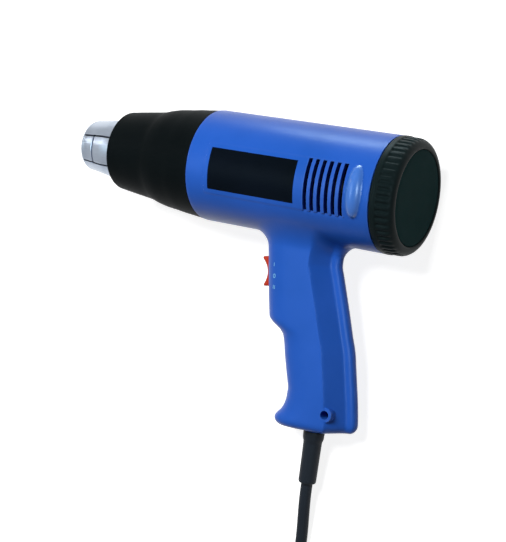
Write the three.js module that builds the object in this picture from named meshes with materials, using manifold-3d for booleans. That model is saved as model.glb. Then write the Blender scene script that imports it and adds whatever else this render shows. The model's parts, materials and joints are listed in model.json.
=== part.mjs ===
// Corded hot air tool, lying on its right side on a flat surface. Millimetres, +Z up.
// The tool is drawn in its own axes and then laid down: x runs back along the barrel from the
// front edge of the housing, z points up away from the handle, and the left side faces -y.
import * as THREE from "three";
import { mergeVertices } from "three/addons/utils/BufferGeometryUtils.js";
import Module from "manifold-3d";

const wasm = await Module();
wasm.setup();

// General clearances
const gap = 0.3;
const runningGap = 0.08;
const fixedBoreGap = 0.15;
const cutMargin = 4;

// Barrel housing
const barrelRadius = 36.25;
const barrelLength = 130.2;
const shellWall = 2.5;
const shellInner = barrelRadius - shellWall;
const ribDepth = 1.5;
const ribWidth = 2.4;
const ribInset = 4;

// Raised panel with the label on the left, and the intake slots on both sides
const panelStart = 14;
const panelAngle = 26;
const panelRise = 0.45;
const labelStart = 17.2;
const labelLength = 62.3;
const labelAngle = 20.8;
const labelThickness = 0.4;
const labelSink = 0.25;
const slotCount = 6;
const slotFirst = 87.7;
const slotPitch = 4.84;
const slotWidth = 2.5;
const slotAngle = 25.4;
const bumpSetback = 10.2;
const bumpCentre = barrelLength - bumpSetback;
const bumpHalfLength = 6.4;
const bumpHalfHeight = 15.6;
const bumpRise = 3;
const bumpSink = 3.6;

// Handle, from the barrel's axis down
const handleHalfWidth = 17;
const handleReach = 153.2;
const handleWall = 2.5;
const noseDepth = 26;
const nosePower = 2.6;
const noseInsetShare = 1.5;
const facetDepth = 14.6;
const spineDepth = 5.2;
const spineHalfWidth = 4.6;
const spineInsetShare = 0.8;
const footTilt = 0.079;
const footRound = 1.8;
const footFallStart = handleReach - 23.2;
const footFallLength = 20;
const cordX = 98;
const exitBossRadius = 8.3;
const exitBossDrop = 1.3;

// Front sleeve and rear cap
const sleeveWall = 2.4;
const sleeveLength = 72;
const sleeveFrontRadius = 26.3;
const sleeveFrontRound = 1.2;
const sleeveNeckRadius = 29.6;
const sleeveFrontWall = 2.6;
const sleeveBoreGap = 0.6;
const spigotLength = 9;
const spigotWall = 2.6;
const capRadius = 36.4;
const capLength = 14.6;
const capWall = 4;
const capEdge = 5.5;
const capRibCount = 48;
const capRibDepth = 1.6;
const capCollar = 3.8;
const capRim = 1.3;
const discThickness = 2;
const discRecess = 0.5;

// Hot end
const tubeRadius = 19.4;
const tubeWall = 1.2;
const tipRadius = 17.2;
const tipReach = 101.5;
const tipRoll = 3;
const taperStart = -84;
const tipGrooveX = -91;
const tipGrooveDepth = 0.5;
const tipGrooveHalfWidth = 0.9;
const dartCount = 6;
const dartAngle = 23.5;
const dartWidth = 1.1;
const dartEnd = -68;
const tubeFlangeX = 10;
const tubeFlangeThickness = 1.5;
const tubeFlangeRadius = 26.2;
const micaOuter = 14.2;
const micaWall = 0.6;
const micaOverhang = 7;
const coreFront = -90;
const coreLength = 84;
const corePlate = 1.4;
const coreEnd = 4;
const coilWire = 0.75;
const coilTurns = 10;
const coilTurnSteps = 8;
const coilMargin = 6;
const coilRadius = micaOuter - micaWall - gap - coilWire - 0.25;
const cutoutLength = 5;
const cutoutHalfWidth = 3.5;
const cutoutHalfHeight = 2;

// Air guide, fan and motor
const flangeThickness = 3;
const neckEnd = 24;
const coneEnd = 58;
const fanFront = 62;
const fanLength = 14;
const fanRadius = 28;
const fanBlades = 9;
const bladeThickness = 1.6;
const bladePitch = 38;
const hubRadius = 9;
const guideEnd = 78;
const guideWall = 2.2;
const mountLength = 6;
const mountSpokes = 4;
const spokeWidth = 3;
const canRadius = 13.6;
const canWall = 1.2;
const canSetback = 1.7;
const canLength = 38;
const shaftRadius = 1.6;
const bearingOuter = 3.6;
const bearingLength = 4.3;
const magnetThickness = 2.1;
const magnetAngle = 56;
const magnetInset = 6;
const armatureInset = 8;
const armatureRadius = 9.4;
const armatureBrushGap = 2.3;
const armaturePoles = 5;
const commutatorRadius = 3.4;
const commutatorLength = 7;
const brushEndGap = 3.4;
const brushHalfHeight = 1.6;
const brushLength = 7.7;
const endCapThickness = 3.2;
const endHubLength = 5.3;
const endHubWall = 1.2;
const boardRadius = 13;
const boardThickness = 1.6;
const diodeRadius = 1.4;
const diodeLength = 5;
const diodeSpread = 4.2;
const diodeOffset = 8.4;

// Rocker switch, in axes that lie along the handle's front face
const switchZ = -60.4;
const switchFaceX = 53.1;
const switchTilt = -9.56;
const rockerHalfWidth = 7.3;
const rockerHalfHeight = 9.5;
const rockerRise = 3.6;
const rockerDish = 3.2;
const rockerDepth = 5;
const rockerPivot = 7.5;
const openingHalfHeight = 11.1;
const switchBodyFront = 6.6;
const switchBodyDepth = 17;
const switchBodyHalfWidth = 8.7;
const switchBodyHalfHeight = 12.5;
const terminalLength = 6;
const terminalSpacing = 9;
const terminalHalfWidth = 2.4;
const terminalHalfThickness = 0.4;

// Fasteners
const screwShank = 1.3;
const screwHead = 2.4;
const screwHeadHeight = 1.8;
const screwHole = screwShank + gap;
const handleScrewX = 111.9;
const handleScrewZ = -handleReach + 13.8;
const handleScrewRecess = 2.7;
const handleScrewSeat = 6;
const handleBossRadius = 4.7;
const nozzleScrewCircle = 22.6;
const nozzleScrewReach = 9;
const screwBossRadius = 2.8;
const longScrewReach = 14;

// Supply cord, which leaves the handle's foot and lies on the surface
const cordRadius = 3.75;
const cordLength = 1800;
const clampZ = -handleReach + 11.2;
const clampHalfSpan = 8.8;
const clampHalfHeight = 3.4;
const clampThickness = 3.2;
const clampScrewOffset = 6.2;
const reliefEnd = handleReach + 35.8;
const reliefRadius = 5.65;
const reliefCollar = 6.8;
const reliefCollarLength = 6;
const reliefNeck = 5.9;
const reliefFlange = 8.6;
const reliefFlangeLength = 2.5;
const cordPastClamp = 6;
const wireRise = 0.5;
const wireRadius = 1.1;

// The rest of the cord: a neat two-layer coil past the foot, then a short tail to the plug
const coilCentreBelowExit = 126;
const coilOuterRadius = 53.2;
const coilPitch = 8.3;
const coilLayerRise = 8;
const coilLayerTurns = 2.875;
const coilClimbTurns = 0.5;
const coilSteps = 24;
const coilSides = 6;
const surfaceGap = 0.1;
const plugHeadStart = 36;
const plugHeadLength = 20;
const plugHalfWidth = 17.5;
const plugHalfThickness = 13;
const pinLength = 19;
const pinRadius = 2.4;
const pinSpacing = 19;

// How the tool lies: on the cap, the housing's front edge and the handle's foot
const restHalfWidth = handleHalfWidth;
const restReach = handleReach - 2.7;

const roundSides = 36;
const innerSides = 24;
const smallSides = 14;
const screwSides = 8;

// A closed geometry with merged corners and its faces pointing out.
function closed(geometry) {
  const bare = geometry.clone();
  bare.deleteAttribute("normal");
  bare.deleteAttribute("uv");
  const merged = mergeVertices(bare, 1e-4);
  const index = merged.index.array;
  const position = merged.attributes.position;
  const kept = [];
  const corner = [new THREE.Vector3(), new THREE.Vector3(), new THREE.Vector3()];
  let volume = 0;
  for (let i = 0; i < index.length; i += 3) {
    const [a, b, c] = [index[i], index[i + 1], index[i + 2]];
    if (a === b || b === c || a === c) continue;
    corner.forEach((v, k) => v.fromBufferAttribute(position, index[i + k]));
    volume += corner[0].dot(corner[1].clone().cross(corner[2]));
    kept.push(a, b, c);
  }
  if (volume < 0) kept.reverse();
  merged.setIndex(kept);
  return merged;
}

function toSolid(geometry) {
  const ready = closed(geometry);
  const vertProperties = Float32Array.from(ready.attributes.position.array);
  const triVerts = Uint32Array.from(ready.index.array);
  return new wasm.Manifold(new wasm.Mesh({ numProp: 3, vertProperties, triVerts }));
}

function toGeometry(solid) {
  const mesh = solid.getMesh();
  const geometry = new THREE.BufferGeometry();
  geometry.setAttribute("position", new THREE.Float32BufferAttribute(mesh.vertProperties, 3));
  geometry.setIndex(Array.from(mesh.triVerts));
  geometry.computeVertexNormals();
  return geometry;
}

const join = (...shapes) => shapes.map(toSolid).reduce((whole, next) => whole.add(next));
const cut = (whole, ...shapes) => shapes.map(toSolid).reduce((left, next) => left.subtract(next), whole);

// A body of revolution about x from closed [x, radius] points.
function turned(profile, sides = roundSides) {
  const points = profile.map(([x, radius]) => new THREE.Vector2(radius, x));
  points.push(points[0].clone());
  return new THREE.LatheGeometry(points, sides).rotateZ(-Math.PI / 2);
}

function ring(x0, x1, inner, outer, sides = roundSides) {
  return turned([[x0, inner], [x1, inner], [x1, outer], [x0, outer]], sides);
}

function rod(x0, x1, radius, sides = smallSides) {
  const length = x1 - x0;
  return new THREE.CylinderGeometry(radius, radius, length, sides)
    .rotateZ(-Math.PI / 2)
    .translate(x0 + length / 2, 0, 0);
}

// A round bar along y or z.
function barY(x, z, y0, y1, radius, sides = smallSides) {
  return new THREE.CylinderGeometry(radius, radius, y1 - y0, sides).translate(x, (y0 + y1) / 2, z);
}

function barZ(x, y, z0, z1, radius, sides = smallSides) {
  return new THREE.CylinderGeometry(radius, radius, z1 - z0, sides)
    .rotateX(Math.PI / 2)
    .translate(x, y, (z0 + z1) / 2);
}

function block(x0, x1, y0, y1, z0, z1) {
  return new THREE.BoxGeometry(x1 - x0, y1 - y0, z1 - z0)
    .translate((x0 + x1) / 2, (y0 + y1) / 2, (z0 + z1) / 2);
}

// Skins a run of equal closed outlines and fans a cap over each end.
function loft(sections) {
  const sides = sections[0].length;
  const position = [];
  const index = [];
  sections.forEach((section) => section.forEach((p) => position.push(p.x, p.y, p.z)));
  for (let row = 0; row + 1 < sections.length; row++) {
    for (let i = 0; i < sides; i++) {
      const a = row * sides + i;
      const b = row * sides + ((i + 1) % sides);
      index.push(a, b, b + sides, a, b + sides, a + sides);
    }
  }
  const capAt = (section, first, forward) => {
    const middle = section.reduce((sum, p) => sum.add(p), new THREE.Vector3()).divideScalar(sides);
    const hub = position.length / 3;
    position.push(middle.x, middle.y, middle.z);
    for (let i = 0; i < sides; i++) {
      const a = first + i;
      const b = first + ((i + 1) % sides);
      index.push(hub, ...(forward ? [a, b] : [b, a]));
    }
  };
  capAt(sections[0], 0, false);
  capAt(sections.at(-1), (sections.length - 1) * sides, true);
  const geometry = new THREE.BufferGeometry();
  geometry.setAttribute("position", new THREE.Float32BufferAttribute(position, 3));
  geometry.setIndex(index);
  return geometry;
}

// A curved slab on the barrel. The angle is 0 on the side and grows upwards; side is -1 on the left.
function barrelPatch(x0, x1, inner, outer, angle, side, steps = 14) {
  const sections = [];
  for (let i = 0; i <= steps; i++) {
    const t = THREE.MathUtils.degToRad(-angle + (2 * angle * i) / steps);
    const at = (x, r) => new THREE.Vector3(x, side * r * Math.cos(t), r * Math.sin(t));
    sections.push([at(x0, inner), at(x1, inner), at(x1, outer), at(x0, outer)]);
  }
  return loft(sections);
}

// An outline with square teeth, in the plane across x.
function toothed(count, inner, outer, share, steps = 1) {
  const outline = new THREE.Shape();
  const pitch = (2 * Math.PI) / count;
  const corner = (radius, angle) => [radius * Math.cos(angle), radius * Math.sin(angle)];
  for (let i = 0; i < count; i++) {
    for (const [radius, from, to] of [[outer, 0, share], [inner, share, 1]]) {
      for (let k = 0; k <= steps; k++) {
        const angle = (i + from + ((to - from) * k) / steps) * pitch;
        if (i + from + k === 0) outline.moveTo(...corner(radius, angle));
        else outline.lineTo(...corner(radius, angle));
      }
    }
  }
  outline.closePath();
  return outline;
}

function extrudedAlongX(shape, x0, x1) {
  return new THREE.ExtrudeGeometry(shape, { depth: x1 - x0, bevelEnabled: false })
    .rotateY(Math.PI / 2)
    .translate(x0, 0, 0);
}

// A tube along a list of points.
function tube(points, radius, sides, steps) {
  const path = new THREE.CatmullRomCurve3(points.map((p) => new THREE.Vector3(...p)));
  const outline = new THREE.Shape();
  for (let i = 0; i < sides; i++) {
    const angle = (2 * Math.PI * i) / sides;
    const at = [radius * Math.cos(angle), radius * Math.sin(angle)];
    if (i === 0) outline.moveTo(...at);
    else outline.lineTo(...at);
  }
  outline.closePath();
  return new THREE.ExtrudeGeometry(outline, { steps, extrudePath: path, bevelEnabled: false });
}

// Handle stations from the barrel down: height, front edge, back edge, share of the full width
const drawnStations = [
  [-24, 39.4, 112, 1.06],
  [-31, 39.9, 111.4, 1.06],
  [-34.8, 41.6, 109, 1.04],
  [-37.5, 45.2, 105.8, 1.02],
  [-40.6, 48.8, 103.2, 1],
  [-45, 50.6, 101.2, 1],
  [-50, 51.3, 101.1, 1],
  [-56, 52.2, 103.3, 1],
  [-76.2, 55.5, 110.2, 1],
  [-88.6, 57.8, 114.2, 1],
  [-91.8, 62, 115.2, 1],
  [-94, 66.4, 116, 1],
  [-97, 69.3, 117.2, 1],
  [-103, 71.2, 118.9, 1],
  [-109, 72.4, 120.1, 1],
  [-122, 75.9, 122.9, 1],
  [-130, 78.2, 124.6, 1],
  [-137.2, 77.9, 125.9, 1],
  [-142.8, 73.8, 126.8, 1],
  [-146.5, 70.9, 127, 1],
  [-148.5, 70.3, 126.6, 1],
  [-150.2, 71.6, 125.4, 0.98],
  [-151.4, 74, 123.6, 0.93],
];

// The drawn heights stretch with the handle's reach, and the last stays just above its end.
const stretch = (handleReach - footRound) / -drawnStations.at(-1)[0];
const handleStations = drawnStations.map(([z, ...rest]) => [z * stretch, ...rest]);

// Rounds the foot: the last outline is drawn in by this much.
const footInset = 3;

function handleOutline([z, front, back, share], inset, tiltShare) {
  const nose = noseDepth - inset * noseInsetShare;
  const half = handleHalfWidth * share - inset;
  const spine = spineHalfWidth - inset * spineInsetShare;
  const x0 = front + inset;
  const x1 = back - inset;
  const side = [];
  for (let i = 1; i <= 5; i++) {
    const turn = (i * Math.PI) / 10;
    const [along, across] = [Math.cos(turn), Math.sin(turn)].map((v) => v ** (2 / nosePower));
    side.push([x0 + nose * (1 - along), half * across]);
  }
  side.push([x1 - facetDepth, half]);
  side.push([x1 - spineDepth, spine]);
  side.push([x1 - spineDepth * 0.42, spine * 0.86]);
  side.push([x1 - spineDepth * 0.12, spine * 0.5]);
  const near = side.map(([x, y]) => [x, -y]);
  const far = side.toReversed();
  const outline = [[x0, 0], ...near, [x1, 0], ...far];
  return outline.map(([x, y]) => new THREE.Vector3(x, y, z + footTilt * tiltShare * (x - cordX)));
}

function handleSolid(inset) {
  const inner = handleStations.filter(([z], i) => i % 2 === 0 && z > -handleReach + 2 * inset);
  const kept = inset === 0 ? handleStations : inner;
  const sections = kept.map((station) => {
    const fall = THREE.MathUtils.clamp((-footFallStart - station[0]) / footFallLength, 0, 1);
    return handleOutline(station, inset, fall);
  });
  const last = kept.at(-1);
  if (inset === 0) {
    const foot = [-handleReach, last[1] + footInset, last[2] - footInset, last[3] - 0.15];
    sections.push(handleOutline(foot, 0, 1));
  } else {
    sections.push(handleOutline([-handleReach + inset, last[1], last[2] - footInset, last[3]], inset, 1));
  }
  return loft(sections);
}

const root = new THREE.Group();
const tool = new THREE.Group();
root.add(tool);

const finish = {
  blue: { color: 0x1f5fc8, roughness: 0.42, metalness: 0 },
  black: { color: 0x101418, roughness: 0.5, metalness: 0 },
  grey: { color: 0x22303a, roughness: 0.55, metalness: 0 },
  red: { color: 0xc8281e, roughness: 0.35, metalness: 0 },
  steel: { color: 0xb8bcc0, roughness: 0.28, metalness: 1 },
  brass: { color: 0xb08d3c, roughness: 0.35, metalness: 1 },
  copper: { color: 0xa8643a, roughness: 0.4, metalness: 1 },
  mica: { color: 0xcfc6b0, roughness: 0.6, metalness: 0 },
  resin: { color: 0xd9d4c6, roughness: 0.6, metalness: 0 },
  board: { color: 0x2f6b3a, roughness: 0.6, metalness: 0 },
  magnet: { color: 0x3a3a3c, roughness: 0.7, metalness: 0.2 },
  wire: { color: 0x8a2a20, roughness: 0.5, metalness: 0 },
};

function add(parent, name, geometry, look) {
  const mesh = new THREE.Mesh(closed(geometry), new THREE.MeshStandardMaterial(finish[look]));
  mesh.name = name;
  parent.add(mesh);
  return mesh;
}

// The handle's front face at a height, for what sits on it.
const switchGroup = new THREE.Group();
switchGroup.position.set(switchFaceX, 0, switchZ);
switchGroup.rotation.y = THREE.MathUtils.degToRad(switchTilt);
switchGroup.updateMatrix();
tool.add(switchGroup);

function shellHalf(name, side) {
  const whole = join(
    ring(0, barrelLength, shellInner, barrelRadius),
    handleSolid(0),
    barZ(cordX, 0, -handleReach - exitBossDrop, -handleReach + 2, exitBossRadius),
    ring(ribInset, ribInset + ribWidth, shellInner - ribDepth, shellInner + 1),
    ring(barrelLength - ribInset - ribWidth, barrelLength - ribInset, shellInner - ribDepth, shellInner + 1),
  );
  const bump = new THREE.SphereGeometry(1, 14, 12)
    .scale(bumpHalfLength, bumpRise + bumpSink, bumpHalfHeight)
    .translate(bumpCentre, -barrelRadius + bumpSink, 0);
  const bored = cut(
    whole.add(toSolid(bump).subtract(toSolid(rod(0, barrelLength, barrelRadius - 1, roundSides)))),
    handleSolid(handleWall),
    ring(ribInset + ribWidth, barrelLength - ribInset - ribWidth, 1, shellInner),
    rod(-1, barrelLength + 1, shellInner - ribDepth, roundSides),
  );
  const opening = block(-cutMargin, handleWall + cutMargin, -rockerHalfWidth - gap - 0.2,
    rockerHalfWidth + gap + 0.2, -openingHalfHeight, openingHalfHeight);
  const slots = [];
  const slotHalfHeight = barrelRadius * Math.sin(THREE.MathUtils.degToRad(slotAngle));
  for (let i = 0; i < slotCount; i++) {
    const x = slotFirst + i * slotPitch;
    for (const s of [-1, 1]) {
      const y = s * barrelRadius;
      const [x0, x1] = [x - slotWidth / 2, x + slotWidth / 2];
      slots.push(block(x0, x1, y - 12, y + 12, -slotHalfHeight, slotHalfHeight));
    }
  }
  const panelEnd = slotFirst + slotPitch * (slotCount - 1) + slotWidth / 2;
  const panelRadius = barrelRadius + panelRise;
  const raised = barrelPatch(panelStart, panelEnd, barrelRadius - 1, panelRadius, panelAngle, -1);
  const pocketAngle = labelAngle + THREE.MathUtils.radToDeg(gap / barrelRadius);
  const pocket = barrelPatch(labelStart - gap, labelStart + labelLength + gap, barrelRadius - labelSink,
    panelRadius + 1, pocketAngle, -1);
  let half = cut(
    bored.add(toSolid(raised)),
    opening.applyMatrix4(switchGroup.matrix),
    pocket,
    ...slots,
    barZ(cordX, 0, -handleReach - 5, -handleReach + 8, reliefNeck + gap),
  );
  const outer = join(handleSolid(0));
  const bossFace = handleHalfWidth - 0.4;
  const screwBoss = side < 0
    ? barY(handleScrewX, handleScrewZ, -bossFace, 0, handleBossRadius)
    : barY(handleScrewX, handleScrewZ, 0, handleHalfWidth, handleBossRadius);
  half = half.add(side < 0 ? toSolid(screwBoss) : toSolid(screwBoss).intersect(outer));
  if (side > 0) {
    const saddle = block(cordX - clampHalfSpan, cordX + clampHalfSpan, cordRadius + gap, handleHalfWidth,
      clampZ - clampHalfHeight, clampZ + clampHalfHeight);
    half = half.add(toSolid(saddle).intersect(outer));
  }
  const holes = side < 0
    ? [
      barY(handleScrewX, handleScrewZ, -handleHalfWidth - 1, 1, screwHole),
      barY(handleScrewX, handleScrewZ, -handleHalfWidth - 1, -handleScrewSeat, handleScrewRecess),
    ]
    : [
      barY(handleScrewX, handleScrewZ, -1, 10, screwHole),
      ...[-1, 1].map((s) => barY(cordX + s * clampScrewOffset, clampZ, 0, 12, screwHole)),
    ];
  const keep = side < 0
    ? block(-10, barrelLength + 10, -60, -gap / 2, -200, 60)
    : block(-10, barrelLength + 10, gap / 2, 60, -200, 60);
  add(tool, name, toGeometry(cut(half, ...holes).intersect(toSolid(keep))), "blue");
}

// Spigot of a collar that plugs into the housing and locks behind its inner rib.
function spigot(x0, direction) {
  const end = x0 + direction * spigotLength;
  const outer = shellInner - gap;
  const groove = [ribInset - gap, ribInset + ribWidth + gap].map((d) => x0 + direction * d);
  const low = shellInner - ribDepth - gap;
  const inner = outer - spigotWall - ribDepth;
  return { end, outer, groove, low, inner };
}

function frontSleeve() {
  const s = spigot(0, 1);
  const outside = [
    [-gap, 35.9], [-31, 32.6], [-35, 31.8], [-41, 30.2], [-44, sleeveNeckRadius],
    [-sleeveLength + sleeveFrontRound, sleeveFrontRadius],
    [-sleeveLength + 0.3 * sleeveFrontRound, sleeveFrontRadius - 0.3 * sleeveFrontRound],
    [-sleeveLength, sleeveFrontRadius - sleeveFrontRound],
  ];
  const bore = tubeRadius + sleeveBoreGap;
  const inside = [
    [-sleeveLength + sleeveFrontWall, bore],
    [-sleeveLength + sleeveFrontWall, sleeveFrontRadius - sleeveWall],
    [-44, sleeveNeckRadius - sleeveWall], [-31, 30.4], [-3, s.inner],
  ];
  return turned([
    ...outside, [-sleeveLength, bore], ...inside,
    [s.end, s.inner], [s.end, s.outer], [s.groove[1], s.outer], [s.groove[1], s.low],
    [s.groove[0], s.low], [s.groove[0], s.outer], [-gap, s.outer],
  ]);
}

function rearCap() {
  const start = barrelLength + gap;
  const end = barrelLength + gap + capLength;
  const s = spigot(barrelLength, -1);
  const flat = capRadius - capEdge;
  const discSeat = flat - capRim;
  const floor = end - discRecess - discThickness - gap;
  const edge = [];
  for (let i = 0; i <= 3; i++) {
    const turn = (i * Math.PI) / 6;
    edge.push([end - capEdge + capEdge * Math.sin(turn), flat + capEdge * Math.cos(turn)]);
  }
  const body = turned([
    [start, capRadius], ...edge, [end, discSeat], [floor, discSeat], [floor, 0], [floor - 1.6, 0],
    [floor - 1.6, capRadius - capWall], [start, capRadius - capWall], [start, s.inner], [s.end, s.inner],
    [s.end, s.outer], [s.groove[1], s.outer], [s.groove[1], s.low], [s.groove[0], s.low],
    [s.groove[0], s.outer], [start, s.outer],
  ].filter(([x, r], i, all) => i === 0 || x !== all[i - 1][0] || r !== all[i - 1][1]));
  const shape = new THREE.Shape();
  shape.absarc(0, 0, capRadius + 3, 0, 2 * Math.PI);
  shape.holes.push(toothed(capRibCount, capRadius - capRibDepth, capRadius + 1, 0.5));
  const ribs = extrudedAlongX(shape, start + capCollar, end - capEdge);
  return toGeometry(cut(toSolid(body), ribs));
}

function nozzle() {
  const rollStart = -tipReach + tipRoll;
  const taper = (tubeRadius - tipRadius) / (taperStart - rollStart);
  const at = (x) => tubeRadius - taper * (taperStart - x);
  const half = tipGrooveHalfWidth;
  const flangeEnd = tubeFlangeX + tubeFlangeThickness;
  const body = turned([
    [rollStart, tipRadius], [-tipReach + 1, tipRadius - 0.3], [-tipReach, tipRadius - 0.9],
    [-tipReach, tipRadius - 1.9], [rollStart, tipRadius - tubeWall],
    [taperStart, tubeRadius - tubeWall], [flangeEnd, tubeRadius - tubeWall],
    [flangeEnd, tubeFlangeRadius], [tubeFlangeX, tubeFlangeRadius], [tubeFlangeX, tubeRadius],
    [taperStart, tubeRadius],
    [tipGrooveX + half, at(tipGrooveX + half)], [tipGrooveX, at(tipGrooveX) - tipGrooveDepth],
    [tipGrooveX - half, at(tipGrooveX - half)],
  ], 30);
  const cuts = [];
  for (let i = 0; i < dartCount; i++) {
    const turn = THREE.MathUtils.degToRad(dartAngle + (360 * i) / dartCount);
    const slit = block(-tipReach + 2, dartEnd, -dartWidth / 2, dartWidth / 2, tipRadius - 2, tubeRadius + 1);
    cuts.push(slit.rotateX(Math.PI / 2 - turn));
  }
  for (const [y, z] of nozzleScrewPlaces()) {
    cuts.push(rod(tubeFlangeX - 1, flangeEnd + 1, screwHole, screwSides).translate(0, y, z));
  }
  return toGeometry(cut(toSolid(body), ...cuts));
}

function nozzleScrewPlaces() {
  return [0, 1, 2].map((i) => {
    const angle = Math.PI / 2 + (2 * Math.PI * i) / 3;
    return [nozzleScrewCircle * Math.cos(angle), nozzleScrewCircle * Math.sin(angle)];
  });
}

function heaterCore() {
  const reach = micaOuter - micaWall - gap;
  const waist = coilRadius * Math.cos(Math.PI / coilTurnSteps) - coilWire - gap;
  const end = coreFront + coreLength;
  const half = corePlate / 2;
  const plates = [
    [coreFront, coreFront + coreEnd, reach],
    [coreFront + coreEnd - 1, end - coreEnd + 1, waist],
    [end - coreEnd, end, reach],
  ];
  return toGeometry(join(...plates.flatMap(([x0, x1, w]) => [
    block(x0, x1, -w, w, -half, half),
    block(x0, x1, -half, half, -w, w),
  ])));
}

function heaterCoil() {
  const start = coreFront + coilMargin;
  const length = coreLength - 2 * coilMargin;
  const steps = coilTurns * coilTurnSteps;
  const points = [];
  for (let i = 0; i <= steps; i++) {
    const turn = (2 * Math.PI * (i + 0.5)) / coilTurnSteps;
    points.push([start + (length * i) / steps, coilRadius * Math.cos(turn), coilRadius * Math.sin(turn)]);
  }
  const sections = points.map(([x, y, z]) => {
    const out = new THREE.Vector3(0, y, z).normalize();
    const section = [];
    for (let k = 0; k < 5; k++) {
      const angle = (2 * Math.PI * k) / 5;
      section.push(new THREE.Vector3(x + coilWire * Math.sin(angle), y, z)
        .addScaledVector(out, coilWire * Math.cos(angle)));
    }
    return section;
  });
  return loft(sections);
}

function airGuide() {
  const front = tubeFlangeX + tubeFlangeThickness + gap;
  const outer = shellInner - gap;
  const bore = micaOuter + gap;
  const neck = bore + guideWall + 0.8;
  const body = join(turned([
    [front, bore], [neckEnd, bore], [coneEnd, outer - guideWall], [guideEnd, outer - guideWall],
    [guideEnd, outer], [coneEnd, outer], [neckEnd, neck], [front + flangeThickness, neck],
    [front + flangeThickness, tubeFlangeRadius], [front, tubeFlangeRadius],
  ], innerSides), ...nozzleScrewPlaces().map(([y, z]) =>
    rod(front + 1, front + nozzleScrewReach, screwBossRadius, screwSides).translate(0, y, z)));
  const holes = nozzleScrewPlaces().map(([y, z]) =>
    rod(front - 1, front + nozzleScrewReach - 1, screwHole, screwSides).translate(0, y, z));
  const wireWays = [-1, 1].map((s) => barZ(44, s * 6, -32, -18, wireRadius + 0.6, 12));
  return toGeometry(cut(body, ...holes, ...wireWays));
}

function screw(length) {
  return turned([
    [length, 0], [length, screwShank], [0, screwShank], [0, screwHead],
    [-screwHeadHeight + 0.5, screwHead], [-screwHeadHeight, screwHead - 0.6], [-screwHeadHeight, 0],
  ], screwSides);
}

function crossSlotScrew(length) {
  const slot = 0.9;
  const arm = screwHead * 0.7;
  const low = -screwHeadHeight - 1;
  const high = -screwHeadHeight + 1;
  return toGeometry(cut(toSolid(screw(length)),
    block(low, high, -slot / 2, slot / 2, -arm, arm),
    block(low, high, -arm, arm, -slot / 2, slot / 2)));
}

function fan() {
  const blades = [];
  const chord = fanLength * 0.92;
  for (let i = 0; i < fanBlades; i++) {
    const half = bladeThickness / 2;
    const blade = block(-chord / 2, chord / 2, -half, half, hubRadius - 1.5, fanRadius)
      .rotateZ(THREE.MathUtils.degToRad(bladePitch))
      .translate(fanFront + fanLength / 2, 0, 0)
      .rotateX((2 * Math.PI * i) / fanBlades);
    blades.push(blade);
  }
  const hub = turned([
    [fanFront + fanLength, shaftRadius + fixedBoreGap],
    [fanFront + fanLength, hubRadius], [fanFront + 3, hubRadius], [fanFront, hubRadius - 3],
    [fanFront, shaftRadius + fixedBoreGap],
  ], smallSides);
  return toGeometry(join(hub, ...blades));
}

function motorMount() {
  const front = guideEnd + gap;
  const end = front + mountLength;
  const outer = shellInner - gap;
  const hub = canRadius + gap;
  const spokes = [];
  for (let i = 0; i < mountSpokes; i++) {
    spokes.push(block(front, end, -spokeWidth / 2, spokeWidth / 2, hub + 1, outer - 1)
      .rotateX(Math.PI / 4 + (2 * Math.PI * i) / mountSpokes));
  }
  return toGeometry(join(
    ring(front, end, outer - guideWall, outer, innerSides),
    ring(front, end, hub, hub + guideWall, innerSides),
    ...spokes,
  ));
}

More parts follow.
